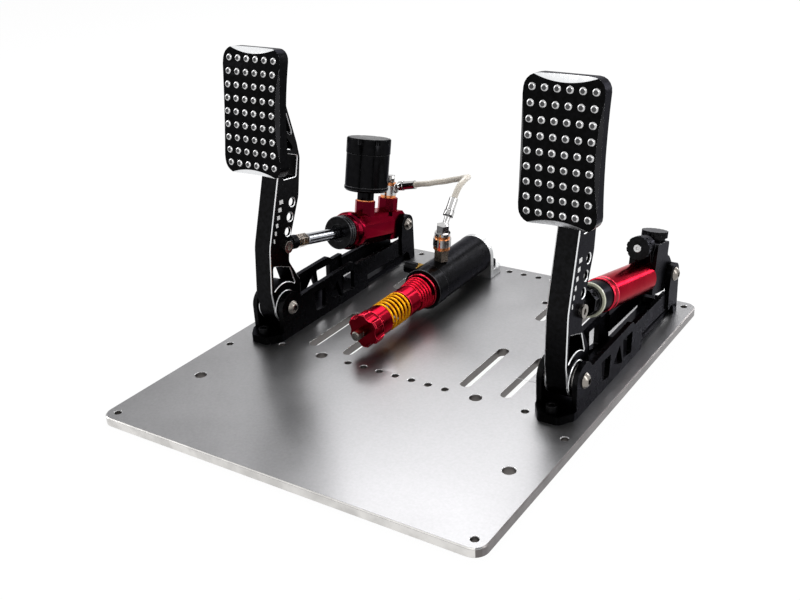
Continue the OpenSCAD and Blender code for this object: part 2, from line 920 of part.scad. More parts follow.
module reservoir_cap() {
  r = reservoir_d / 2 + 0.5;
  low = reservoir_top - cap_h;
  color("#19191b")
    at_brake() at_rear(brake_lean)
      translate([0, -reservoir_s, low])
        difference() {
          union() {
            cylinder(r = r, h = cap_h - 1);
            translate([0, 0, cap_h - 1])
              cylinder(r1 = r, r2 = r - 1, h = 1);
          }
          translate([0, 0, -1])
            cylinder(r = r - 3.05, h = 8);
          for (a = [0:45:359])
            rotate([0, 0, a + 12])
              translate([r + 1, 0, cap_h - 6])
                cylinder(r = 3.2, h = 8);
        }
}

// Hydraulic fittings
eye_flat_r = 9.1;
master_stack = [boss_top - 0.5, 3, 11, 3, 8];
module washer(r, bore, z, h) {
  translate([0, 0, z])
    difference() {
      cylinder(r = r, h = h);
      translate([0, 0, -1])
        cylinder(r = bore, h = h + 2);
    }
}
module master_washers() {
  s = master_stack;
  color("#c8642b")
    at_brake() at_rear(brake_lean) {
      translate([0, -reservoir_s, 0])
        washer(9.6, 6 + fit_gap, boss_top, 1);
      translate([0, -outlet_s, 0]) {
        washer(8.6, 5 + fit_gap, s[0], s[1]);
        washer(8, 5 + fit_gap, s[0] + s[1] + s[2], s[3]);
      }
    }
}
module tube_between(a, b, r, sides = 24) {
  d = b - a;
  translate(a)
    rotate([0, acos(d[2] / norm(d)), atan2(d[1], d[0])])
      cylinder(r = r, h = norm(d), $fn = sides);
}
// Bent neck between a banjo's eye and its ferrule
module neck(p, r = 3.1) {
  for (i = [0:len(p) - 2])
    tube_between(p[i], p[i + 1], r);
  for (i = [1:len(p) - 2])
    translate(p[i])
      sphere(r = r + 0.2);
}
// Centre of the master's banjo eye above the plate, and the two ends of its ferrule from there
function eye_mid(s) = s[0] + s[1] + s[2] / 2;
master_eye = [
  brake_x,
  pivot_y + rear_dy + eye_mid(master_stack) * sin(slope(brake_lean)) - outlet_s * cos(slope(brake_lean)),
  rear_z + eye_mid(master_stack) * cos(slope(brake_lean)) + outlet_s * sin(slope(brake_lean))
];
ferrule_m = [[14.8, -0.1, 6.35], [36, -0.1, 10.8]];
module at_master_eye() {
  translate(master_eye + [0, 0, plate_t])
    children();
}
module master_banjo() {
  s = master_stack;
  color("#b4b6ba")
    difference() {
      union() {
        at_brake() at_rear(brake_lean)
          translate([0, -outlet_s, s[0] + s[1]])
            cylinder(r = eye_flat_r, h = s[2]);
        at_master_eye()
          neck([[4, 0, 0], [9.8, 0, 0.5], [11.2, -0.1, 5.6], ferrule_m[0]]);
      }
      at_brake() at_rear(brake_lean)
        translate([0, -outlet_s, s[0]])
          cylinder(r = 5 + fit_gap, h = s[2] + 8);
    }
}
module master_banjo_bolt() {
  s = master_stack;
  top = s[0] + s[1] + s[2] + s[3];
  color("#b4b6ba")
    at_brake() at_rear(brake_lean)
      translate([0, -outlet_s, 0]) {
        translate([0, 0, boss_top - 11])
          cylinder(r = 5, h = top - boss_top + 12);
        translate([0, 0, top])
          hex(12, s[4]);
      }
}
module ferrule(a, b) {
  d = b - a;
  translate(a)
    rotate([0, acos(d[2] / norm(d)), atan2(d[1], d[0])])
      rotate_extrude()
        polygon([
          [0, 0], [4.8, 0], [5.4, 0.6], [5.4, 6], [4.7, 7], [4.7, norm(d)], [0, norm(d)]
        ]);
}
module master_ferrule() {
  color("#9fa1a6")
    at_master_eye()
      ferrule(ferrule_m[0], ferrule_m[1]);
}

// Slave cylinder, drawn along Y from the front of its end plate
slave_r = slave_d / 2;
shaft_r2 = shaft_d / 2;
collar_l = 16;
flange_l = 4;
flange_r = 18.3;
seat_l = 5;
seat_gap = 0.35;
function seat_radius(wire, grow = 0) =
  (spring_d / 2 - wire + grow) * cos(180 / rings_per_turn) - wire - seat_gap;
flange_front = -slave_l - flange_l;
red_front = flange_front - red_l;
spacer_front = red_front - spacer_l;
yellow_front = spacer_front - yellow_l;
cup_front = yellow_front - cup_l;
star_front = cup_front - star_l;
tip_front = star_front - 13;
slave_stroke = 10;
slave_tail = 8;
slave_piston_y = -64;
end_plate_t = 6;
module slave_end_plate() {
  foot_l = 20;
  color("#c3c4c6")
    at_slave()
      difference() {
        union() {
          bar_y(slave_r + 0.4, 0, end_plate_t);
          translate([-slave_r - 0.4, 0, -slave_z])
            cube([2 * slave_r + 0.8, end_plate_t, slave_z]);
          translate([0, 0, -slave_z])
            linear_extrude(slave_foot_h)
              polygon(outline([
                [-slave_r - 0.4, 1, 0], [slave_r + 0.4, 1, 0],
                [slave_r + 0.4, end_plate_t + foot_l, 7], [-slave_r - 0.4, end_plate_t + foot_l, 7]
              ]));
        }
        for (s = [-1, 1])
          translate([s * slave_bolt_x, 17, -slave_z - 1])
            cylinder(r = screw_r + 0.3, h = slave_foot_h + 2);
        bar_y(8, -1, end_plate_t + 1);
      }
}
module slave_body() {
  color("#151517")
    at_slave() {
      difference() {
        bar_y(slave_r, collar_l - slave_l, 0);
        bar_y(slave_bore_d / 2, collar_l - slave_l - 1, -slave_tail);
        rotate([0, adapter_tilt, 0])
          translate([0, adapter_y, 0])
            cylinder(r = 5 + fit_gap, h = 40);
        translate([0, sensor_y, sensor_z])
          rotate([0, -90, 0])
            cylinder(r = 4 + fit_gap, h = 40);
      }
      bar_y(8 - fit_gap, 0, end_plate_t - 0.5);
    }
}
module slave_collar() {
  color("#19191b")
    at_slave()
      difference() {
        union() {
          bar_y(collar_d / 2, -slave_l, collar_l - slave_l);
          bar_y(slave_bore_d / 2 - fit_gap, -slave_l + collar_l - 1, -slave_l + collar_l + 3);
        }
        bar_y(shaft_r2 + run_gap, -slave_l - 1, -slave_l + collar_l + 4);
      }
}
module slave_flange() {
  seat_r = seat_radius(wire_red, red_grow * (1 - (seat_l + wire_red) / red_l));
  color("#a3101c")
    at_slave()
      difference() {
        turned([
          [0, flange_front - seat_l], [seat_r, flange_front - seat_l], [seat_r, flange_front],
          [flange_r - 0.5, flange_front], [flange_r, flange_front + 0.5],
          [flange_r, -slave_l - 0.5], [flange_r - 0.5, -slave_l], [0, -slave_l]
        ]);
        bar_y(shaft_r2 + run_gap, flange_front - seat_l - 1, -slave_l + 1);
      }
}
module slave_spacer() {
  yellow_seat_r = seat_radius(wire_yellow);
  color("#a3101c")
    at_slave()
      difference() {
        union() {
          bar_y(spring_d / 2 - 0.4, spacer_front, red_front);
          bar_y(yellow_seat_r, spacer_front - seat_l, red_front);
          bar_y(seat_radius(wire_red), red_front - 1, red_front + seat_l);
        }
        bar_y(shaft_r2 + run_gap, spacer_front - seat_l - 1, red_front + seat_l + 1);
      }
}
module slave_cup() {
  color("#a3101c")
    at_slave()
      difference() {
        union() {
          bar_y(spring_d / 2 - 0.4, cup_front, yellow_front);
          bar_y(seat_radius(wire_yellow), yellow_front - 1, yellow_front + seat_l);
        }
        bar_y(shaft_r2 + fit_gap, cup_front - 1, yellow_front + seat_l + 1);
      }
}
module slave_shaft() {
  color("#8a8780")
    at_slave()
      difference() {
        union() {
          bar_y(shaft_r2, tip_front + 1, slave_piston_y + 1);
          translate([0, tip_front, 0])
            rotate([-90, 0, 0])
              cylinder(r1 = shaft_r2 - 1, r2 = shaft_r2, h = 1);
        }
        for (s = [-1, 1])
          translate([s * (shaft_r2 - 0.8) - (s < 0 ? 3 : 0), tip_front - 1, -6])
            cube([3, 9, 12]);
      }
}
module slave_piston() {
  color("#b08d3c")
    at_slave()
      difference() {
        bar_y(slave_bore_d / 2 - run_gap, slave_piston_y, slave_piston_y + 16);
        bar_y(shaft_r2 + fit_gap, slave_piston_y - 1, slave_piston_y + 1 + fit_gap);
      }
}
lobes = 6;
module star_knob() {
  lobe_r = spring_d / 2 + 2.2;
  groove_r = 8;
  groove_deep = 3.4;
  lobes_to = star_front + star_l - 4;
  color("#b01420")
    at_slave()
      difference() {
        union() {
          difference() {
            turned([
              [0, star_front], [lobe_r - 1, star_front], [lobe_r, star_front + 1],
              [lobe_r, lobes_to - 0.8], [lobe_r - 0.8, lobes_to], [0, lobes_to]
            ]);
            for (k = [0:lobes - 1])
              rotate([0, k * 360 / lobes - 3, 0])
                translate([lobe_r + groove_r - groove_deep, 0, 0])
                  bar_y(groove_r, star_front - 1, lobes_to + 1);
          }
          bar_y(lobe_r - groove_deep - 0.4, star_front + 1, lobes_to + 2);
          bar_y(spring_d / 2 + 0.2, lobes_to + 1.2, star_front + star_l);
        }
        bar_y(shaft_r2 + run_gap, star_front - 1, star_front + star_l + 1);
      }
}

// Coil springs, each one closed tube of triangles wound along Y
wire_yellow = 1.8;
wire_red = 1.5;
rings_per_turn = 8;
wire_sides = 6;
spring_play = 0.15;
function coil_point(front, back, turns, wire, grow, t) =
  let (a = 360 * turns * t, r = spring_d / 2 - wire + grow * t, inset = wire + spring_play)
  [r * cos(a), front + inset + (back - front - 2 * inset) * t, r * sin(a)];
function coil_ring(front, back, turns, wire, grow, t) =
  let (a = 360 * turns * t, c = coil_point(front, back, turns, wire, grow, t))
  [for (k = [0:wire_sides - 1])
    let (b = 360 * k / wire_sides)
    c + wire * (cos(b) * [cos(a), 0, sin(a)] + sin(b) * [0, 1, 0])];
function tube_faces(rings, sides) = concat(
  [for (i = [0:rings - 2], k = [0:sides - 1])
    [i * sides + k, i * sides + (k + 1) % sides, (i + 1) * sides + k]],
  [for (i = [0:rings - 2], k = [0:sides - 1])
    [i * sides + (k + 1) % sides, (i + 1) * sides + (k + 1) % sides, (i + 1) * sides + k]],
  [for (k = [1:sides - 2]) [0, k + 1, k]],
  [for (k = [1:sides - 2]) [(rings - 1) * sides, (rings - 1) * sides + k, (rings - 1) * sides + k + 1]]
);
module coil(front, back, turns, wire, grow = 0) {
  rings = round(turns * rings_per_turn) + 1;
  points = [for (i = [0:rings - 1]) each coil_ring(front, back, turns, wire, grow, i / (rings - 1))];
  centres = [for (i = [0:rings - 1]) coil_point(front, back, turns, wire, grow, i / (rings - 1))];
  gaps = [
    for (i = [0:rings - 1], k = [i + 5:1:rings - 1])
      norm(centres[i] - centres[k]) - 2 * wire
  ];
  echo(str("least gap of a spring to itself: ", min(gaps), " mm"));
  polyhedron(points, tube_faces(rings, wire_sides));
}
module yellow_spring() {
  color("#e0a818")
    at_slave()
      coil(yellow_front, spacer_front, yellow_turns, wire_yellow);
}
module red_spring() {
  color("#c01525")
    at_slave()
      coil(red_front, flange_front, red_turns, wire_red, red_grow);
}

// Slave's fittings, drawn up from the slave's axis
adapter_y = -71;
adapter_tilt = 6;
sensor_y = -66;
sensor_z = 2;
slave_stack = [33.9, 3.6, 8.4, 3, 3, 8];
module at_port() {
  at_slave()
    rotate([0, adapter_tilt, 0])
      translate([0, adapter_y, 0])
        children();
}
module slave_adapter() {
  s = slave_stack;
  color("#8f8a84")
    at_port()
      difference() {
        union() {
          translate([0, 0, slave_bore_d / 2 + 1])
            cylinder(r = 5, h = slave_r - slave_bore_d / 2);
          translate([0, 0, slave_r + fit_gap])
            hex(14, s[0] - slave_r - fit_gap);
        }
        translate([0, 0, s[0] - 8])
          cylinder(r = 4 + fit_gap, h = 30);
        cylinder(r = 1.5, h = 40, $fn = 24);
      }
}
module slave_washers() {
  s = slave_stack;
  color("#c8642b")
    at_port() {
      washer(8.65, 4 + fit_gap, s[0], s[1]);
      washer(7.9, 4 + fit_gap, s[0] + s[1] + s[2], s[3]);
    }
}
// Centre of the slave's banjo eye above the plate, and the two ends of its ferrule from there
slave_eye = [
  eye_mid(slave_stack) * sin(adapter_tilt) - slave_x,
  plate_d / 2 - slave_setback + adapter_y,
  slave_z + eye_mid(slave_stack) * cos(adapter_tilt)
];
ferrule_s = [[-4.4, 19.6, 19.1], [-4.2, 32.7, 34.8]];
module at_slave_eye() {
  translate(slave_eye + [0, 0, plate_t])
    children();
}
module slave_banjo() {
  s = slave_stack;
  color("#b4b6ba")
    difference() {
      union() {
        at_port()
          translate([0, 0, s[0] + s[1]])
            cylinder(r = eye_flat_r, h = s[2]);
        at_slave_eye()
          neck([[-1, 4, -1], [-2.8, 9, -1], [-4.5, 13.2, 11.4], ferrule_s[0]]);
      }
      at_port()
        translate([0, 0, s[0]])
          cylinder(r = 4 + fit_gap, h = 20);
    }
}
module slave_banjo_bolt() {
  s = slave_stack;
  top = s[0] + s[1] + s[2] + s[3];
  color("#b4b6ba")
    at_port() {
      translate([0, 0, s[0] - 7])
        cylinder(r = 4, h = top - s[0] + 8);
      translate([0, 0, top])
        cylinder(r = 8, h = s[4]);
      translate([0, 0, top + s[4]])
        hex(12, s[5]);
    }
}
module slave_ferrule() {
  color("#c9cacd")
    at_slave_eye()
      ferrule(ferrule_s[0], ferrule_s[1]);
}
module pressure_sensor() {
  color("#b08d3c")
    at_slave()
      translate([0, sensor_y, sensor_z])
        rotate([0, -90, 0]) {
          translate([0, 0, slave_bore_d / 2 + 1])
            cylinder(r = 4, h = 8);
          translate([0, 0, slave_r])
            hex(12, 8);
          translate([0, 0, slave_r + 7])
            cylinder(r = 6.5, h = 16);
        }
}

// Brake hose: the points of its route in X, Y and height above the plate
hose_route = [
  [-117.5, 184.6, 94.8], [-110, 185.5, 96.5], [-102, 187.5, 97.5], [-94, 191.5, 99],
  [-86, 195, 100], [-78, 197.5, 102], [-70.5, 197.5, 104], [-63, 195.5, 107],
  [-57, 191.5, 109.5], [-52, 186.5, 112], [-49, 180.5, 114], [-47, 173.5, 115],
  [-46.5, 166.5, 114], [-46.5, 160, 112], [-46.5, 154.5, 108.5], [-46.8, 147.7, 101.8]
];
hose_sides = 10;
hose_last = len(hose_route) - 1;
// The route is shifted so that its ends stay on the faces of the two ferrules
function hose_point(i) =
  let (t = i / hose_last)
  hose_route[i]
    + (1 - t) * (master_eye + ferrule_m[1] - hose_route[0])
    + t * (slave_eye + ferrule_s[1] - hose_route[hose_last]);
function route_way(p, i) =
  i == 0 ? unit(ferrule_m[1] - ferrule_m[0])
  : i == hose_last ? unit(ferrule_s[0] - ferrule_s[1])
  : unit(p[i + 1] - p[i - 1]);
function route_ring(p, i, r) =
  let (
    way = route_way(p, i),
    side = unit(cross(way, [0, 0, 1])),
    up = cross(side, way)
  )
  [for (k = [0:hose_sides - 1])
    p[i] + r * (cos(360 * k / hose_sides) * side + sin(360 * k / hose_sides) * up)];
module brake_hose() {
  points = [for (i = [0:hose_last]) hose_point(i)];
  rings = [for (i = [0:hose_last]) each route_ring(points, i, hose_d / 2)];
  color("#d8cdb8")
    translate([0, 0, plate_t])
      polyhedron(rings, tube_faces(hose_last + 1, hose_sides));
}

// Throttle's rod, drawn along Y from the pin
adjuster_from = stem_l + 1;
adjuster_to = adjuster_from + 12;
bump_t = 3;
bump_r = 15.3;
sleeve_r = 14.3;
sleeve_to = 92;
module throttle_rod_end() {
  color("#2a2a2c")
    at_throttle() at_pin(0)
      rod_end(5.8, rod_r + fit_gap);
}
module damper_adjuster() {
  color("#222224")
    at_throttle() at_pin(0) {
      bar_y(rod_r, stem_l - 13.5, adjuster_from + 1);
      difference() {
        octagon_y(11.5, adjuster_from, adjuster_to - 4);
        for (k = [0:7])
          rotate([0, k * 45, 0])
            translate([0, adjuster_from + 4, 11.5])
              cylinder(r = 2.2, h = 3, center = true, $fn = 24);
      }
      bar_y(13, adjuster_to - 4, adjuster_to);
    }
}
module bump_ring() {
  color("#e6e8b8")
    at_throttle() at_pin(0)
      difference() {
        bar_y(bump_r, adjuster_to, adjuster_to + bump_t);
        bar_y(10 + fit_gap, adjuster_to - 1, adjuster_to + bump_t + 1);
      }
}
module damper_sleeve() {
  color("#19191b")
    at_throttle() at_pin(0) {
      bar_y(10, adjuster_to, adjuster_to + bump_t);
      difference() {
        bar_y(sleeve_r, adjuster_to + bump_t, sleeve_to);
        bar_y(sleeve_r - 4, sleeve_to - 22, sleeve_to + 1);
      }
      bar_y(rod_r, sleeve_to - 23, sleeve_to + 30);
      bar_y(sleeve_r - 0.3, sleeve_to + 30, sleeve_to + 40);
    }
}

// Damper, drawn along Y from the rear pivot
damper_r = damper_d / 2;
column_from = 44;
column_to = 14;
column_top = 34;
dial_s = 20;
knob_from = 62;
knob_t = 8;
module damper_tube() {
  mouth = -damper_l;
  color("#b01420")
    at_throttle() at_rear(0)
      difference() {
        turned([
          [0, mouth], [damper_r - 0.7, mouth], [damper_r, mouth + 1], [damper_r, mouth + 8],
          [damper_r - 0.5, mouth + 8.4], [damper_r - 0.5, mouth + 9.2], [damper_r, mouth + 9.6],
          [damper_r, -column_from - 0.5], [12, -column_from - 0.5], [12, -damper_rear],
          [0, -damper_rear]
        ]);
        bar_y(sleeve_r + run_gap, mouth - 1, -column_from - 6);
      }
}
module damper_block() {
  web_from = -knob_from + knob_t + 1;
  color("#1d1d1f")
    at_throttle() at_rear(0)
      difference() {
        union() {
          across_x(2 * lug_half)
            polygon(outline([
              [-column_from, -15.5, 2], [-column_from, column_top, 3], [-column_to, column_top, 3],
              [-column_to, 20, 3], [-8, 18, 3], [7, 6, 4], [8.5, -5, 5], [0, -10, 5], [-12, -15.5, 2]
            ]));
          translate([0, 0, knob_h])
            bar_y(knob_d / 2 - 1.2, -knob_from + knob_t + 0.3, -column_from + 1);
          across_x(18)
            polygon([
              [web_from, knob_h], [web_from + 6, damper_r + 0.3], [-column_from + 1, damper_r + 0.3],
              [-column_from + 1, knob_h]
            ]);
        }
        bar_y(12 + fit_gap, -column_from - 1, -damper_rear + fit_gap);
        bar_x(bolt_r + run_gap, 2 * lug_half + 2);
        translate([0, 0, knob_h])
          bar_y(2 + fit_gap, -knob_from, -knob_from + knob_t + 10);
        translate([0, -dial_s, column_top - 10])
          cylinder(r = 5 + run_gap, h = 20);
      }
}
module damper_knob() {
  color("#19191b")
    at_throttle() at_rear(0)
      translate([0, 0, knob_h])
        difference() {
          turned([
            [0, -knob_from], [knob_d / 2, -knob_from], [knob_d / 2, -knob_from + knob_t - 1],
            [knob_d / 2 - 1, -knob_from + knob_t], [0, -knob_from + knob_t]
          ]);
          bar_y(2 + fit_gap, -knob_from - 1, -knob_from + knob_t + 1);
          for (k = [0:11])
            rotate([0, k * 30, 0])
              translate([knob_d / 2 + 0.6, 0, 0])
                bar_y(1.3, -knob_from - 1, -knob_from + knob_t - 1.5, 24);
        }
}
module damper_knob_screw() {
  color("#d0d1d4")
    at_throttle() at_rear(0)
      translate([0, -knob_from, knob_h]) {
        bar_y(2, 0, knob_t + 8);
        difference() {
          bar_y(3.6, -2, 0);
          translate([0, 0, 0])
            bar_y(1.5, -3, -0.8, 6);
        }
      }
}
module damper_dial() {
  color("#1d1d1f")
    at_throttle() at_rear(0)
      translate([0, -dial_s, column_top]) {
        translate([0, 0, -8])
          cylinder(r = 5, h = 9);
        translate([0, 0, 0.3])
          cylinder(r = 10.5, h = 2.2);
        translate([0, 0, 2.5])
          difference() {
            cylinder(r = dial_d / 2, h = 6);
            for (k = [0:17])
              rotate([0, 0, k * 20])
                translate([dial_d / 2 + 0.5, 0, 1.5])
                  cylinder(r = 1.2, h = 7, $fn = 16);
          }
      }
}

base_plate();
module_screws();
rear_foot_blocks();
pivot_shafts();
pivot_bearings();
pivot_bolts();
rear_pivot_bolts();
brake_left_wall();
brake_right_wall();
brake_floor();
throttle_left_wall();
throttle_right_wall();
throttle_floor();
brake_arm();
brake_face();
brake_studs();
brake_pin_bolt();
throttle_arm();
throttle_face();
throttle_studs();
throttle_pin_bolt();
brake_rod_end();
brake_lock_nuts();
brake_pushrod();
master_piston();
master_body();
master_front_cap();
reservoir_body();
reservoir_cap();
master_washers();
master_banjo();
master_banjo_bolt();
master_ferrule();
slave_end_plate();
slave_body();
slave_collar();
slave_flange();
red_spring();
slave_spacer();
yellow_spring();
slave_cup();
slave_shaft();
slave_piston();
star_knob();
slave_adapter();
slave_washers();
slave_banjo();
slave_banjo_bolt();
slave_ferrule();
pressure_sensor();
brake_hose();
throttle_rod_end();
damper_adjuster();
bump_ring();
damper_sleeve();
damper_tube();
damper_block();
damper_knob();
damper_knob_screw();
damper_dial();
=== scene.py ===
import json
import math

import bmesh
import bpy
from mathutils import Matrix, Vector


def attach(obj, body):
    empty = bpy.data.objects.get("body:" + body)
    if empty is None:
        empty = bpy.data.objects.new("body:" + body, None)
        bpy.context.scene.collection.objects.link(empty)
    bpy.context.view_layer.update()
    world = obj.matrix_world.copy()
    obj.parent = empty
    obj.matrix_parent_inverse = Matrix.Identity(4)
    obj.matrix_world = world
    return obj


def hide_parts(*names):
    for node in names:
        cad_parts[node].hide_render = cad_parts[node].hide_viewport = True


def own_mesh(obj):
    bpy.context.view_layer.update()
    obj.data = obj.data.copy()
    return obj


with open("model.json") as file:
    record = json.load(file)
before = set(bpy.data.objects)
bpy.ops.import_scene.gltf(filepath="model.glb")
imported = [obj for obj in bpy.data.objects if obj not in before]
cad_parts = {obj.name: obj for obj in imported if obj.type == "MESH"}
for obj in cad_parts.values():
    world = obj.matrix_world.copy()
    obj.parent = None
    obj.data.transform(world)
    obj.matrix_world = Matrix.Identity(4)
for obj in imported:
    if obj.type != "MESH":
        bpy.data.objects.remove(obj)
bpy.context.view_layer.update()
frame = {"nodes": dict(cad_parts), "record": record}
nodes = frame["nodes"]
bodyOf = {n: b for b, ns in frame["record"]["behaviour"]["bodies"].items() for n in ns}
mm = 0.001

# where the pedals and the slave cylinder stand in the shared frame, in mm and degrees
pedalSet = {
    "brakeX": -153.5,
    "brakeLean": 2.6,
    "brakeFaceDrop": 3.6,
    "throttleX": 156.3,
    "pivotY": -18.3,
    "pivotZ": 37.0,  # with the plate's 8 mm
    "slaveX": -47.0,
    "slaveY": 186.0,
    "slaveZ": 33.5,
}

print("camera")
view = {
    "yaw": 34.47,
    "pitch": 24.92,  # downwards
    "roll": -3.14,
    "place": (480.2, -727.8, 472.0),  # mm
    "lens": 47.205,
    "sensor": 36,
    "near": 0.01,
}
yaw, pitch, roll = (math.radians(view[k]) for k in ("yaw", "pitch", "roll"))
ahead = Vector((-math.sin(yaw) * math.cos(pitch), math.cos(yaw) * math.cos(pitch), -math.sin(pitch)))
level = Vector((math.cos(yaw), math.sin(yaw), 0))
upright = level.cross(ahead)
rightWay = math.cos(roll) * level + math.sin(roll) * upright
upWay = math.cos(roll) * upright - math.sin(roll) * level
cameraData = bpy.data.cameras.new("camera")
cameraData.lens = view["lens"]
cameraData.sensor_width = view["sensor"]
cameraData.clip_start = view["near"]
camera = bpy.data.objects.new("camera", cameraData)
facing = Matrix((rightWay, upWay, -ahead)).transposed()
camera.matrix_world = Matrix.Translation(Vector(view["place"]) * mm) @ facing.to_4x4()
bpy.context.collection.objects.link(camera)
bpy.context.scene.camera = camera
bpy.context.scene.view_settings.view_transform = "Standard"


def addPiece(name, mesh, material=None):
    piece = bpy.data.objects.new(name, mesh)
    bpy.context.collection.objects.link(piece)
    if material:
        mesh.materials.append(material)
    return piece


def meshFrom(bm, name):
    mesh = bpy.data.meshes.new(name)
    bm.to_mesh(mesh)
    bm.free()
    return mesh


def softShade(mesh, angle):
    mesh.shade_smooth()
    mesh.set_sharp_from_angle(angle=math.radians(angle))


def baked(piece):
    graph = bpy.context.evaluated_depsgraph_get()
    result = bpy.data.meshes.new_from_object(piece.evaluated_get(graph), depsgraph=graph)
    piece.modifiers.clear()
    piece.data = result


def circle(steps):
    return [2 * math.pi * k / steps for k in range(steps)]


def smoothRoute(points, steps):
    line = []
    for i in range(len(points) - 1):
        a = points[max(i - 1, 0)]
        b, c = points[i], points[i + 1]
        d = points[min(i + 2, len(points) - 1)]
        bend = 2 * a - 5 * b + 4 * c - d
        swing = 3 * b - a - 3 * c + d
        for k in range(steps):
            t = k / steps
            line.append(0.5 * (2 * b + (c - a) * t + bend * t * t + swing * t ** 3))
    return line + [points[-1]]


tubeSmooth = 50  # degrees between faces that still look round


def sweptTube(name, line, radius, sides, startWay=None, endWay=None):
    bm = bmesh.new()
    uv = bm.loops.layers.uv.new("run")
    rings, lengths = [], [0.0]
    for a, b in zip(line, line[1:]):
        lengths.append(lengths[-1] + (b - a).length)
    last = len(line) - 1
    side = None
    for i, p in enumerate(line):
        way = (line[min(i + 1, last)] - line[max(i - 1, 0)]).normalized()
        if i == 0 and startWay:
            way = startWay
        if i == last and endWay:
            way = endWay
        if side is None:
            side = way.cross(Vector((0, 0, 1)))
            if side.length < 0.1:  # the line starts almost upright
                side = way.cross(Vector((1, 0, 0)))
        side = (side - way * side.dot(way)).normalized()
        lift = way.cross(side)
        ring = [p + radius * (math.cos(a) * side + math.sin(a) * lift) for a in circle(sides)]
        rings.append([bm.verts.new(spot) for spot in ring])
    for i in range(last):
        for k in range(sides):
            j = (k + 1) % sides
            face = bm.faces.new((rings[i][k], rings[i][j], rings[i + 1][j], rings[i + 1][k]))
            spots = ((k, i), (k + 1, i), (k + 1, i + 1), (k, i + 1))
            for loop, (u, v) in zip(face.loops, spots):
                loop[uv].uv = (u / sides, lengths[v] / (2 * math.pi * radius))
    bm.faces.new(list(reversed(rings[0])))
    bm.faces.new(rings[-1])
    bmesh.ops.recalc_face_normals(bm, faces=bm.faces)
    mesh = meshFrom(bm, name)
    softShade(mesh, tubeSmooth)
    return addPiece(name, mesh)


def feed(tree, slot, value):
    if isinstance(value, Signal):
        value = value.socket
    if hasattr(value, "is_output"):
        tree.links.new(value, slot)
    else:
        slot.default_value = value


def addNode(tree, kind, settings=None, sockets=None):
    node = tree.nodes.new(kind)
    for key, value in (settings or {}).items():
        setattr(node, key, value)
    for key, value in (sockets or {}).items():
        feed(tree, node.inputs[key], value)
    return node


class Signal:
    def __init__(self, tree, socket):
        self.tree, self.socket = tree, socket

    def joined(self, kind, *values):
        node = addNode(self.tree, "ShaderNodeMath", {"operation": kind}, dict(enumerate(values)))
        return Signal(self.tree, node.outputs[0])

    def __add__(self, other):
        return self.joined("ADD", self, other)

    def __radd__(self, other):
        return self.joined("ADD", other, self)

    def __sub__(self, other):
        return self.joined("SUBTRACT", self, other)

    def __rsub__(self, other):
        return self.joined("SUBTRACT", other, self)

    def __mul__(self, other):
        return self.joined("MULTIPLY", self, other)

    def __rmul__(self, other):
        return self.joined("MULTIPLY", other, self)

    def __truediv__(self, other):
        return self.joined("DIVIDE", self, other)

    def __rtruediv__(self, other):
        return self.joined("DIVIDE", other, self)

    def __abs__(self):
        return self.joined("ABSOLUTE", self)

    def sine(self):
        return self.joined("SINE", self)

    def cosine(self):
        return self.joined("COSINE", self)

    def above(self, edge):
        return self.joined("GREATER_THAN", self, edge)

    def most(self, other):
        return self.joined("MAXIMUM", self, other)


def axesOf(tree, vector):
    apart = addNode(tree, "ShaderNodeSeparateXYZ", sockets={0: vector})
    return [Signal(tree, socket) for socket in apart.outputs]


class Finish:
    def __init__(self, name, colour, metallic, roughness, **fixed):
        self.material = bpy.data.materials.new(name)
        self.material.use_nodes = True
        self.tree = self.material.node_tree
        self.shader = self.tree.nodes["Principled BSDF"]
        self.spot = addNode(self.tree, "ShaderNodeTexCoord").outputs
        self.put("Base Color", (*colour, 1))
        self.put("Metallic", metallic)
        self.put("Roughness", roughness)
        for key, value in fixed.items():
            self.put(key.replace("_", " "), value)

    def put(self, key, value):
        feed(self.tree, self.shader.inputs[key], value)

    def noise(self, scale, detail, stretch=(1, 1, 1)):
        placed = addNode(self.tree, "ShaderNodeMapping", sockets={
            "Vector": self.spot["Object"], "Scale": stretch,
        })
        node = addNode(self.tree, "ShaderNodeTexNoise", sockets={
            "Vector": placed.outputs["Vector"], "Scale": scale, "Detail": detail, "Roughness": 0.55,
        })
        return Signal(self.tree, node.outputs[0])

    def spread(self, signal, low, high, fromLow=0.35, fromHigh=0.65):
        node = addNode(self.tree, "ShaderNodeMapRange", sockets={
            "Value": signal, "From Min": fromLow, "From Max": fromHigh, "To Min": low, "To Max": high,
        })
        return Signal(self.tree, node.outputs[0])

    def tinted(self, factor, first, second):
        node = addNode(self.tree, "ShaderNodeMix", {"data_type": "RGBA"}, {
            0: factor, 6: (*first, 1), 7: (*second, 1),
        })
        self.put("Base Color", node.outputs[2])

    def bumped(self, height, strength, distance=0.0001):
        node = addNode(self.tree, "ShaderNodeBump", sockets={
            "Height": height, "Strength": strength, "Distance": distance,
        })
        self.put("Normal", node.outputs[0])


print("finishes")


def blastedPlate():
    f = Finish("blastedPlate", (0.21, 0.21, 0.215), 1.0, 0.32)
    cloud = f.noise(9, 3)
    fine = f.noise(420, 4)
    f.put("Roughness", f.spread(cloud, 0.28, 0.34) + 0.05 * fine)
    f.tinted(f.spread(cloud * 0.5 + fine * 0.5, 0, 1), (0.190, 0.189, 0.194), (0.226, 0.225, 0.230))
    f.bumped(f.noise(1600, 2), 0.12, 0.0002)
    return f.material


def blackAnodised(name, low, high, tone):
    f = Finish(name, (tone, tone, tone * 1.1), 1.0, low, Specular_Tint=(0.55, 0.55, 0.57, 1))
    f.put("Roughness", f.spread(f.noise(60, 4), low, high))
    f.tinted(f.spread(f.noise(300, 3), 0, 1), (tone * 0.8,) * 3, (tone * 1.3, tone * 1.3, tone * 1.4))
    f.bumped(f.noise(2600, 2), 0.10)
    return f.material


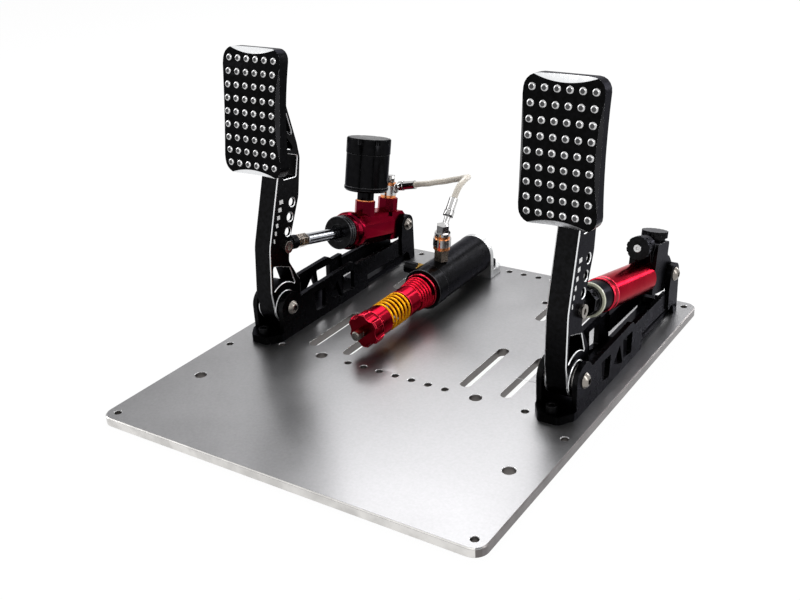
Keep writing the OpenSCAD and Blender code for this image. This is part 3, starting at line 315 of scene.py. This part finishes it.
def bareEdge():
    f = Finish("bareEdge", (0.80, 0.81, 0.82), 1.0, 0.24)
    f.put("Roughness", f.spread(f.noise(700, 3, (1, 1, 0.1)), 0.26, 0.34))
    f.bumped(f.noise(1800, 2), 0.02)
    return f.material


def redAnodised(name, deep, pale, rough):
    f = Finish(name, deep, 1.0, rough, Specular_Tint=(1, 0.5, 0.52, 1))
    f.put("Roughness", f.spread(f.noise(500, 3, (1, 0.12, 1)), rough - 0.04, rough + 0.05))
    f.tinted(f.spread(f.noise(40, 3), 0, 1), deep, pale)
    f.bumped(f.noise(1500, 2, (1, 0.1, 1)), 0.05)
    return f.material


def plainMetal(name, colour, low, high, grain=900, stretch=(1, 1, 1)):
    f = Finish(name, colour, 1.0, low)
    dark = tuple(c * 0.86 for c in colour)
    pale = tuple(min(1, c * 1.12) for c in colour)
    f.put("Roughness", f.spread(f.noise(grain, 3, stretch), low, high))
    f.tinted(f.spread(f.noise(55, 3), 0, 1), dark, pale)
    f.bumped(f.noise(grain * 2, 2, stretch), 0.06)
    return f.material


def sprungPaint():
    colour = (0.95, 0.42, 0.008)
    f = Finish("yellowPaint", colour, 0.7, 0.28, Specular_Tint=(1, 0.7, 0.2, 1))
    f.put("Roughness", f.spread(f.noise(400, 3), 0.24, 0.36))
    f.tinted(f.spread(f.noise(120, 3), 0, 1), tuple(c * 0.8 for c in colour), colour)
    f.bumped(f.noise(900, 2), 0.06)
    return f.material


def mouldedPlastic():
    f = Finish("mouldedPlastic", (0.006, 0.006, 0.0064), 1.0, 0.2, Specular_Tint=(0.5, 0.5, 0.51, 1))
    f.put("Roughness", f.spread(f.noise(90, 4), 0.16, 0.26))
    f.tinted(f.spread(f.noise(200, 3), 0, 1), (0.005, 0.005, 0.0055), (0.007, 0.007, 0.0076))
    f.bumped(f.noise(2200, 2), 0.14)
    return f.material


def wovenHose():
    f = Finish("wovenHose", (0.60, 0.52, 0.40), 0.0, 0.34, Coat_Weight=0.4, Coat_Roughness=0.2)
    around, along = 12, 7  # strands, along in each length of the hose's girth
    u, v, _ = axesOf(f.tree, f.spot["UV"])
    over = ((u * around + v * along) * (2 * math.pi)).sine()
    under = ((u * around - v * along) * (2 * math.pi)).sine()
    weave = (over * under) * 0.5 + 0.5
    f.put("Roughness", f.spread(f.noise(300, 2), 0.28, 0.42))
    f.tinted(f.spread(weave, 0, 1, 0.1, 0.9), (0.56, 0.49, 0.40), (0.84, 0.79, 0.70))
    f.bumped(weave, 0.35, 0.0004)
    return f.material


def clearBump():
    f = Finish("clearBump", (0.80, 0.80, 0.62), 0.0, 0.30, Transmission_Weight=0.35, IOR=1.45)
    f.put("Roughness", f.spread(f.noise(200, 3), 0.24, 0.38))
    f.bumped(f.noise(700, 2), 0.08, 0.0002)
    return f.material


def printedWhite():
    f = Finish("printedWhite", (0.74, 0.74, 0.74), 0.0, 0.5)
    f.tinted(f.spread(f.noise(900, 3), 0, 1), (0.68, 0.68, 0.67), (0.80, 0.80, 0.79))
    f.bumped(f.noise(1500, 2), 0.1)
    return f.material


finish = {
    "plate": blastedPlate(),
    "edge": bareEdge(),
    "plastic": mouldedPlastic(),
    "yellow": sprungPaint(),
    "hose": wovenHose(),
    "bump": clearBump(),
    "white": printedWhite(),
}
blacks = {  # lowest and highest roughness, tone
    "black": (0.24, 0.32, 0.008),
    "faceBlack": (0.26, 0.34, 0.0042),
    "screwBlack": (0.30, 0.42, 0.014),
    "collarBlack": (0.18, 0.26, 0.009),
}
reds = {  # deepest and palest red, roughness
    "red": ((0.155, 0.002, 0.009), (0.215, 0.005, 0.014), 0.18),
    "redDeep": ((0.062, 0.0015, 0.006), (0.090, 0.002, 0.009), 0.20),
    "redCoil": ((0.50, 0.008, 0.026), (0.62, 0.013, 0.036), 0.24),
    # painted pink highlight along the bevels of red pieces
    "redEdgeSheen": ((0.62, 0.030, 0.060), (0.74, 0.050, 0.085), 0.20),
    # painted shade on the shaft inside the cup and the springs
    "redShadeCore": ((0.030, 0.002, 0.002), (0.045, 0.004, 0.003), 0.34),
}
metals = {  # colour, lowest and highest roughness, grain and its stretch
    # painted light and shade on the plate's side faces: lighter at the front, left and back, darker on the
    # right
    "plateSideLit": ((0.68, 0.665, 0.645), 0.30, 0.40, 700),
    "plateFlankShade": ((0.18, 0.168, 0.168), 0.28, 0.38, 700),
    # painted shade on the front lip of the plate's bevel, painted highlight on its other bevels
    "plateLipShade": ((0.045, 0.043, 0.04), 0.3, 0.4, 700),
    "plateRimLit": ((0.62, 0.62, 0.62), 0.20, 0.30, 700),
    # painted shade on the slots' inner walls
    "slotWallShade": ((0.145, 0.135, 0.130), 0.34, 0.44),
    "endPlate": ((0.46, 0.465, 0.47), 0.30, 0.40, 800),
    # painted dark reflection on the face plates' side scoops, the same bare metal as the top and bottom
    # scoops
    "sideScoopDark": ((0.026, 0.026, 0.028), 0.24, 0.34, 700),
    # painted highlight along the bevels of black metal and plastic pieces
    "sheenEdge": ((0.050, 0.050, 0.053), 0.22, 0.34, 700),
    "chrome": ((0.54, 0.535, 0.53), 0.06, 0.14, 500),
    # painted dark reflection along the chrome pieces' bevels
    "chromeDarkEdge": ((0.055, 0.055, 0.058), 0.12, 0.22, 700),
    "stud": ((0.56, 0.56, 0.56), 0.08, 0.16, 900),
    # painted dark reflection in the studs' dished crowns
    "studDishReflection": ((0.07, 0.07, 0.072), 0.14, 0.24),
    "steel": ((0.26, 0.25, 0.24), 0.20, 0.32),
    "bolt": ((0.24, 0.22, 0.20), 0.18, 0.30),
    # painted shade in the pivot bolts' sockets
    "socket": ((0.03, 0.027, 0.024), 0.3, 0.4),
    "nut": ((0.50, 0.44, 0.39), 0.14, 0.24, 500),
    "rod": ((0.36, 0.37, 0.40), 0.08, 0.16, 700, (1, 0.08, 1)),
    "rodTip": ((0.17, 0.155, 0.14), 0.22, 0.36, 1200),
    "adapter": ((0.20, 0.17, 0.14), 0.22, 0.34),
    "brass": ((0.42, 0.26, 0.07), 0.20, 0.32),
    "copper": ((0.72, 0.28, 0.11), 0.20, 0.34),
}
for make, looks in ((blackAnodised, blacks), (redAnodised, reds), (plainMetal, metals)):
    for name, look in looks.items():
        finish[name] = make(name, *look)

print("hose")
hose = {
    "diameter": 6.4,
    "sides": 20,
    "steps": 8,
    "leaves": (0.979, 0, 0.206),
    "arrives": (-0.01, -0.64, -0.768),
    "route": (
        (-117.5, 184.6, 102.8), (-110, 185.5, 104.5), (-102, 187.5, 105.5), (-94, 191.5, 107),
        (-86, 195, 108), (-78, 197.5, 110), (-70.5, 197.5, 112), (-63, 195.5, 115),
        (-57, 191.5, 117.5), (-52, 186.5, 120), (-49, 180.5, 122), (-47, 173.5, 123),
        (-46.5, 166.5, 122), (-46.5, 160, 120), (-46.5, 154.5, 116.5), (-46.8, 147.7, 109.8),
    ),
}
route = [Vector(p) * mm for p in hose["route"]]
line = smoothRoute(route, hose["steps"])
hoseTube = sweptTube("brakeHose", line, hose["diameter"] / 2 * mm, hose["sides"],
                     startWay=Vector(hose["leaves"]), endWay=Vector(hose["arrives"]))
hoseTube.data.materials.append(finish["hose"])
hoseLength = sum((b - a).length for a, b in zip(line, line[1:]))
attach(hoseTube, "base")
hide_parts("brake_hose")

print("machined pieces with broken edges")
edging = {
    "weld": 3e-6,
    "flat": 0.6,  # faces that turn less than this become one
    "smooth": 32,
    "sharp": 28,  # corners above this get a bevel
}


def dressed(node, width, material, edgeMaterial=None, zones=(), lips=(), segments=2, clamped=True):
    bm = bmesh.new()
    bm.from_mesh(nodes[node].data)
    bmesh.ops.remove_doubles(bm, verts=bm.verts, dist=edging["weld"])
    bmesh.ops.dissolve_limit(bm, angle_limit=math.radians(edging["flat"]), verts=bm.verts, edges=bm.edges)
    for slot, (_, inZone) in enumerate(zones, 2):
        for face in bm.faces:
            if inZone(face.calc_center_median() / mm, face.normal):
                face.material_index = slot
    piece = addPiece(node + ".dressed", meshFrom(bm, node + ".dressed"))
    for look in (material, edgeMaterial or material, *(zone[0] for zone in (*zones, *lips))):
        piece.data.materials.append(look)
    softShade(piece.data, edging["smooth"])
    if width:
        bevel = piece.modifiers.new("edges", "BEVEL")
        bevel.harden_normals = True
        bevel.width = width * mm
        bevel.segments = segments
        bevel.limit_method = "ANGLE"
        bevel.angle_limit = math.radians(edging["sharp"])
        bevel.use_clamp_overlap = clamped
        bevel.miter_outer = "MITER_ARC"
        if edgeMaterial:
            bevel.material = 1
        baked(piece)
        for face in piece.data.polygons:
            for slot, (_, onLip) in enumerate(lips, 2 + len(zones)):
                if face.material_index == 1 and onLip(face.center / mm, face.normal):
                    face.material_index = slot
    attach(piece, bodyOf[node])
    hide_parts(node)


dress = {  # width of the bevel in mm, finish
    "brake_left_wall": (0.5, "black"), "brake_right_wall": (0.5, "black"),
    "throttle_left_wall": (0.5, "black"), "throttle_right_wall": (0.5, "black"),
    "brake_floor": (0, "faceBlack"), "throttle_floor": (0, "faceBlack"),
    "rear_foot_blocks": (0.5, "black"),
    "master_body": (0.5, "redDeep"), "master_front_cap": (0.4, "collarBlack"),
    "reservoir_body": (0.5, "plastic"), "reservoir_cap": (0.7, "plastic"),
    "slave_body": (0.5, "black"), "slave_collar": (0.7, "collarBlack"), "slave_flange": (0.5, "red"),
    "slave_spacer": (0.5, "red"), "slave_cup": (0.5, "red"), "star_knob": (0.8, "red"),
    "slave_end_plate": (0.6, "endPlate"), "slave_adapter": (0.4, "adapter"),
    "slave_banjo": (0.5, "chrome"), "slave_banjo_bolt": (0.4, "chrome"), "slave_ferrule": (0.4, "chrome"),
    "master_banjo": (0.5, "chrome"), "master_banjo_bolt": (0.4, "chrome"), "master_ferrule": (0.4, "chrome"),
    "damper_tube": (0.5, "red"), "damper_block": (0.8, "black"), "damper_sleeve": (0.5, "faceBlack"),
    "damper_adjuster": (0.6, "collarBlack"), "damper_knob": (0.4, "collarBlack"),
    "damper_knob_screw": (0.3, "stud"), "damper_dial": (0.4, "collarBlack"), "bump_ring": (0.7, "bump"),
    "brake_rod_end": (0.5, "black"), "throttle_rod_end": (0.5, "black"), "brake_lock_nuts": (0.4, "nut"),
    "rear_pivot_bolts": (0.3, "bolt"),
    "brake_pin_bolt": (0.3, "bolt"), "throttle_pin_bolt": (0.3, "bolt"), "module_screws": (0.3, "screwBlack"),
}
# bevel finishes: painted highlights along the edges of black, plastic and red pieces, a painted dark
# reflection along chrome edges
rims = {"black": "sheenEdge", "collarBlack": "sheenEdge", "plastic": "sheenEdge", "chrome": "chromeDarkEdge",
        "red": "redEdgeSheen", "redDeep": "redEdgeSheen"}
for node, (width, kind) in dress.items():
    dressed(node, width, finish[kind], finish[rims[kind]] if kind in rims else None)

arm = {"bevel": 0.9}
for node in ("brake_arm", "throttle_arm"):
    dressed(node, arm["bevel"], finish["black"], finish["edge"], segments=1, clamped=False)

facePlate = {"bevel": 0.35, "leanFrom": 0.35, "leanTo": 0.93}  # the scoops' normals lean this far


def leans(part):
    return facePlate["leanFrom"] < abs(part) < facePlate["leanTo"]


# the top and bottom scoops are bare metal; the side scoops carry a painted dark reflection
for node in ("brake_face", "throttle_face"):
    dressed(node, facePlate["bevel"], finish["faceBlack"], finish["edge"], (
        (finish["edge"], lambda at, way: leans(way.z) and way.y < 0),
        (finish["sideScoopDark"], lambda at, way: leans(way.x) and way.y < 0),
    ))

plate = {"bevel": 0.5, "edgeX": 188, "edgeY": 222, "sideRise": 0.9, "wallRise": 0.2}  # rise of a normal


def inside(at):
    return abs(at.x) < plate["edgeX"] and abs(at.y) < plate["edgeY"]


def pastEdge(at):
    return at.x < -plate["edgeX"] or abs(at.y) > plate["edgeY"]


# the plate's side faces and bevels carry painted light and shade by the way they face; the slot walls carry
# painted shade
dressed("base_plate", plate["bevel"], finish["plate"], finish["plateRimLit"], (
    (finish["plateFlankShade"], lambda at, way: abs(way.z) < plate["sideRise"] and at.x > plate["edgeX"]),
    (finish["plateSideLit"], lambda at, way: abs(way.z) < plate["sideRise"] and pastEdge(at)),
    (finish["slotWallShade"], lambda at, way: abs(way.z) < plate["wallRise"] and inside(at)),
), (
    (finish["plateLipShade"], lambda at, way: at.y < -plate["edgeY"]),
    (finish["plateFlankShade"], lambda at, way: at.x > plate["edgeX"]),
))

slaveShaft = {"bevel": 0.3, "tip": -196}  # behind the tip the cup hides the shaft; there it carries painted dark red shade between the coils
dressed("slave_shaft", slaveShaft["bevel"], finish["rodTip"], None, (
    (finish["redShadeCore"], lambda at, way: at.y - pedalSet["slaveY"] > slaveShaft["tip"]),
))

pivotBolt = {"bevel": 0.3, "socket": 2.95}  # reach of the socket's corners, where the painted shade ends


def offPivot(at):
    return math.hypot(at.y - pedalSet["pivotY"], at.z - pedalSet["pivotZ"])


dressed("pivot_bolts", pivotBolt["bevel"], finish["bolt"], None, (
    (finish["socket"], lambda at, way: offPivot(at) < pivotBolt["socket"]),
))

sensor = {"bevel": 0.5, "hexX": -75.7}  # the brass hexagon reaches out to here
dressed("pressure_sensor", sensor["bevel"], finish["collarBlack"], None, (
    (finish["brass"], lambda at, way: at.x > sensor["hexX"]),
))

plain = {
    "pivot_shafts": "steel", "pivot_bearings": "steel", "brake_pushrod": "rod",
    "master_piston": "brass", "slave_piston": "brass", "master_washers": "copper", "slave_washers": "copper",
}
for node, kind in plain.items():
    nodes[node].data.materials.clear()
    nodes[node].data.materials.append(finish[kind])

print("grip studs")
stud = {
    "columns": 6,
    "rows": 9,
    "across": 10.3,
    "up": 12.0,
    "radius": 3.15,
    "rise": 1.4,
    "dish": 0.84,  # share of the rise at which the crown turns down
    "segments": 24,
    "rings": 20,
    "faceRadius": 343.0,
    "faceSeat": (0, -19.1, 197.7),
    "faceLean": 5.4,
}


def studTree():
    tree = bpy.data.node_groups.new("studGrid", "GeometryNodeTree")
    ports = tree.interface
    ports.new_socket("Geometry", in_out="OUTPUT", socket_type="NodeSocketGeometry")
    ports.new_socket("Geometry", in_out="INPUT", socket_type="NodeSocketGeometry")
    sizes = ("Across", "Up", "Face Radius", "Stud Radius", "Stud Rise", "Dish Edge")
    for kind, keys in (("Int", ("Columns", "Rows")), ("Float", sizes), ("Material", ("Metal", "Dish Reflection"))):
        for key in keys:
            ports.new_socket(key, in_out="INPUT", socket_type="NodeSocket" + kind)
    given = addNode(tree, "NodeGroupInput").outputs
    across, up, faceRadius, radius, rise, dish = (Signal(tree, given[key]) for key in sizes)
    columns, rows = (Signal(tree, given[key]) for key in ("Columns", "Rows"))

    grid = addNode(tree, "GeometryNodeMeshGrid", sockets={
        "Size X": across * (columns - 1), "Size Y": up * (rows - 1),
        "Vertices X": columns, "Vertices Y": rows,
    })
    x, y, _ = axesOf(tree, addNode(tree, "GeometryNodeInputPosition").outputs[0])
    lean = y / faceRadius
    bent = addNode(tree, "ShaderNodeCombineXYZ", sockets={
        0: x, 1: faceRadius * (1 - lean.cosine()), 2: faceRadius * lean.sine(),
    })
    places = addNode(tree, "GeometryNodeSetPosition", sockets={
        "Geometry": grid.outputs["Mesh"], "Position": bent.outputs[0],
    })
    square = addNode(tree, "ShaderNodeCombineXYZ", sockets={0: math.pi / 2 - lean})  # out of the curved face

    ball = addNode(tree, "GeometryNodeMeshUVSphere", sockets={
        "Segments": stud["segments"], "Rings": stud["rings"], "Radius": radius,
    })
    flat = addNode(tree, "ShaderNodeCombineXYZ", sockets={0: 1, 1: 1, 2: rise / radius})
    dome = addNode(tree, "GeometryNodeTransform", sockets={
        "Geometry": ball.outputs["Mesh"], "Scale": flat.outputs[0],
    })
    wide, deep, high = axesOf(tree, addNode(tree, "GeometryNodeInputPosition").outputs[0])
    rim = rise * dish
    marked = addNode(tree, "GeometryNodeStoreNamedAttribute", {"data_type": "BOOLEAN", "domain": "FACE"}, {
        "Geometry": dome.outputs[0], "Name": "crown", "Value": high.above(rim),
    })
    sunk = addNode(tree, "ShaderNodeCombineXYZ", sockets={0: wide, 1: deep, 2: rim - abs(high - rim)})
    dished = addNode(tree, "GeometryNodeSetPosition", sockets={
        "Geometry": marked.outputs[0], "Position": sunk.outputs[0],
    })
    smooth = addNode(tree, "GeometryNodeSetShadeSmooth", sockets={"Geometry": dished.outputs[0]})

    copies = addNode(tree, "GeometryNodeInstanceOnPoints", sockets={
        "Points": places.outputs[0], "Instance": smooth.outputs[0], "Rotation": square.outputs[0],
    })
    real = addNode(tree, "GeometryNodeRealizeInstances", sockets={0: copies.outputs[0]})
    metal = addNode(tree, "GeometryNodeSetMaterial", sockets={
        "Geometry": real.outputs[0], "Material": given["Metal"],
    })
    # the dished crowns get a painted dark reflection
    crown = addNode(tree, "GeometryNodeInputNamedAttribute", {"data_type": "BOOLEAN"}, {"Name": "crown"})
    core = addNode(tree, "GeometryNodeSetMaterial", sockets={
        "Geometry": metal.outputs[0], "Selection": crown.outputs["Attribute"], "Material": given["Dish Reflection"],
    })
    addNode(tree, "NodeGroupOutput", sockets={0: core.outputs[0]})
    return tree


def grown(name, tree, settings, place):
    piece = addPiece(name, bpy.data.meshes.new(name))
    modifier = piece.modifiers.new("grow", "NODES")
    modifier.node_group = tree
    for item in tree.interface.items_tree:
        if item.in_out == "INPUT" and item.name in settings:
            modifier[item.identifier] = settings[item.name]
    baked(piece)
    piece.data.transform(place)
    return piece


def atPivot(x, lean):
    pivot = Vector((x, pedalSet["pivotY"], pedalSet["pivotZ"])) * mm
    return Matrix.Translation(pivot) @ Matrix.Rotation(-math.radians(lean), 4, "X")


pedals = (  # name, place across, lean of the arm, how far its face sits down
    ("brake", pedalSet["brakeX"], pedalSet["brakeLean"], pedalSet["brakeFaceDrop"]),
    ("throttle", pedalSet["throttleX"], 0, 0),
)
studs = studTree()
for pedal, x, lean, drop in pedals:
    seat = Matrix.Translation(Vector(stud["faceSeat"]) * mm)
    tilt = Matrix.Rotation(-math.radians(stud["faceLean"]), 4, "X")
    down = Matrix.Translation(Vector((0, 0, -drop)) * mm)
    piece = grown(pedal + "Studs", studs, {
        "Columns": stud["columns"], "Rows": stud["rows"], "Across": stud["across"] * mm,
        "Up": stud["up"] * mm, "Face Radius": stud["faceRadius"] * mm, "Stud Radius": stud["radius"] * mm,
        "Stud Rise": stud["rise"] * mm, "Dish Edge": stud["dish"],
        "Metal": finish["stud"], "Dish Reflection": finish["studDishReflection"],
    }, atPivot(x, lean) @ seat @ tilt @ down)
    piece.data.attributes.remove(piece.data.attributes["crown"])
    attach(piece, pedal + "_pedal")
    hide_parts(pedal + "_studs")

print("hub rings")
hubRing = {"outer": 16.2, "inner": 14.9, "near": 10.05, "far": 10.9, "bevel": 0.3, "steps": 96, "smooth": 40}
hubProfile = (  # radius, then distance from the arm's middle
    (hubRing["inner"], hubRing["near"]),
    (hubRing["outer"], hubRing["near"]),
    (hubRing["outer"], hubRing["far"] - hubRing["bevel"]),
    (hubRing["outer"] - hubRing["bevel"], hubRing["far"]),
    (hubRing["inner"], hubRing["far"]),
)
for pedal, x, _, _ in pedals:
    bm = bmesh.new()
    for side in (-1, 1):
        loops = []
        for r, out in hubProfile:
            ring = [Vector((side * out, r * math.cos(a), r * math.sin(a))) for a in circle(hubRing["steps"])]
            loops.append([bm.verts.new(p * mm) for p in ring])
        for i, loop in enumerate(loops):
            other = loops[(i + 1) % len(loops)]
            for k in range(hubRing["steps"]):
                j = (k + 1) % hubRing["steps"]
                bm.faces.new((loop[k], loop[j], other[j], other[k]))
    bmesh.ops.recalc_face_normals(bm, faces=bm.faces)
    bm.transform(atPivot(x, 0))
    mesh = meshFrom(bm, pedal + "HubRings")
    softShade(mesh, hubRing["smooth"])
    piece = addPiece(pedal + "HubRings", mesh, finish["edge"])
    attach(piece, pedal + "_pedal")

print("index marks")
mark = {
    "count": 6,
    "top": (4.2, 105.2),
    "bottom": (-9.9, 69.8),
    "tall": 3.9,
    "wide": (5.4, 1.7),  # at the top and at the bottom
    "thick": 0.12,
    "armHalf": 10.0,
}
for pedal, x, lean, _ in pedals:
    bm = bmesh.new()
    for k in range(mark["count"]):
        t = k / (mark["count"] - 1)
        y, z = (a + (b - a) * t for a, b in zip(mark["top"], mark["bottom"]))
        wide = mark["wide"][0] + (mark["wide"][1] - mark["wide"][0]) * t
        size = Matrix.Diagonal(Vector((mark["thick"] * 2, wide, mark["tall"], 1)))
        place = Matrix.Translation(Vector((mark["armHalf"], y, z)) * mm)
        bmesh.ops.create_cube(bm, size=mm, matrix=place @ size)
    bm.transform(atPivot(x, lean))
    piece = addPiece(pedal + "Marks", meshFrom(bm, pedal + "Marks"), finish["white"])
    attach(piece, pedal + "_pedal")

print("springs")
coil = {
    "radius": 15.0,
    "rings": 28,  # in each turn
    "sides": 14,
    "play": 0.1,  # left free at each end
    # squeezed is the length that is left at full travel, with the back end held
    "yellow": {"front": -180.5, "back": -146.5, "squeezed": 27, "turns": 5.5, "wire": 1.2, "grow": 0},
    "red": {"front": -130.5, "back": -108.5, "squeezed": 19, "turns": 5, "wire": 1.3, "grow": 2.2},
}


def coilSpring(name, size, material):
    count = round(size["turns"] * coil["rings"])
    centre = Vector((pedalSet["slaveX"], pedalSet["slaveY"], pedalSet["slaveZ"])) * mm
    inset = size["wire"] + coil["play"]
    run = size["back"] - size["front"] - 2 * inset
    line = []
    for i in range(count + 1):
        t = i / count
        a = 2 * math.pi * size["turns"] * t
        r = coil["radius"] - size["wire"] + size["grow"] * t
        line.append(centre + Vector((r * math.cos(a), size["front"] + inset + run * t, r * math.sin(a))) * mm)
    piece = sweptTube(name, line, size["wire"] * mm, coil["sides"])
    piece.data.materials.append(material)
    return piece


yellow = coilSpring("yellowSpring", coil["yellow"], finish["yellow"])
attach(yellow, "spring_spacer")
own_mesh(yellow)
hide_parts("yellow_spring")
red = coilSpring("redSpring", coil["red"], finish["redCoil"])
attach(red, "base")
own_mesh(red)
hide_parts("red_spring")

print("floor and light")
studio = {
    "floorReach": 6,
    "floorDrop": 0.0004,
    "floorTone": (0.8, 0.8, 0.8, 1),
    "glow": 1.03,  # what the camera and the reflections see of the floor
    "glowShare": 0.93,  # the rest keeps the object's shadow
    "sky": (0.9, 0.92, 0.95, 1),
    "skyStrength": 0.35,
}


def backdropRays(tree):
    path = addNode(tree, "ShaderNodeLightPath").outputs
    rays = [Signal(tree, path[key]) for key in ("Is Camera Ray", "Is Glossy Ray", "Is Transmission Ray")]
    return rays[0].most(rays[1]).most(rays[2])


def shown(tree, share, lit, seen, outlet):
    blend = addNode(tree, "ShaderNodeMixShader", sockets={0: share, 1: lit.outputs[0], 2: seen.outputs[0]})
    addNode(tree, outlet, sockets={0: blend.outputs[0]})


ground = bpy.data.materials.new("ground")
ground.use_nodes = True
tree = ground.node_tree
tree.nodes.clear()
diffuse = addNode(tree, "ShaderNodeBsdfDiffuse", sockets={"Color": studio["floorTone"]})
glow = addNode(tree, "ShaderNodeEmission", sockets={"Color": (1, 1, 1, 1), "Strength": studio["glow"]})
shown(tree, backdropRays(tree) * studio["glowShare"], diffuse, glow, "ShaderNodeOutputMaterial")
reach = studio["floorReach"]
floorMesh = bpy.data.meshes.new("floor")
floorMesh.from_pydata([(-reach, -reach, 0), (reach, -reach, 0), (reach, reach, 0), (-reach, reach, 0)],
                      [], [(0, 1, 2, 3)])
floor = addPiece("floor", floorMesh, ground)
floor.location.z = -studio["floorDrop"]

world = bpy.data.worlds.new("world")
bpy.context.scene.world = world
world.use_nodes = True
tree = world.node_tree
tree.nodes.clear()
sky = addNode(tree, "ShaderNodeBackground", sockets={
    "Color": studio["sky"], "Strength": studio["skyStrength"],
})
white = addNode(tree, "ShaderNodeBackground", sockets={"Color": (1, 1, 1, 1), "Strength": 1.0})
shown(tree, backdropRays(tree), sky, white, "ShaderNodeOutputWorld")

lamps = {  # place, aim, size in metres, power in watts
    "overhead": ((-0.5, 1.25, 1.55), (0, 0, 0.05), (1.5, 1.0), 28),
    "leftSide": ((-1.6, -0.5, 0.9), (0, 0, 0.1), (0.5, 1.4), 9),
    "rightSide": ((1.8, 0.2, 0.9), (0, 0.05, 0.1), (0.5, 1.4), 12),
    "front": ((0.6, -2.0, 1.2), (0, 0, 0.1), (1.2, 0.5), 7),
    "rearStrip": ((0.72, 1.75, 0.95), (0.1, 0.1, 0.05), (0.14, 1.0), 5),
    "lowRear": ((0.78, 2.02, 0.30), (0.156, 0.10, 0.08), (0.25, 0.35), 3.5),  # the streak on the damper
}
for name, (place, aim, size, power) in lamps.items():
    data = bpy.data.lights.new(name, "AREA")
    data.shape = "RECTANGLE"
    data.size, data.size_y = size
    data.energy = power
    lamp = bpy.data.objects.new(name, data)
    lamp.location = place
    lamp.rotation_euler = (Vector(aim) - Vector(place)).to_track_quat("-Z", "Y").to_euler()
    bpy.context.collection.objects.link(lamp)

print("done")
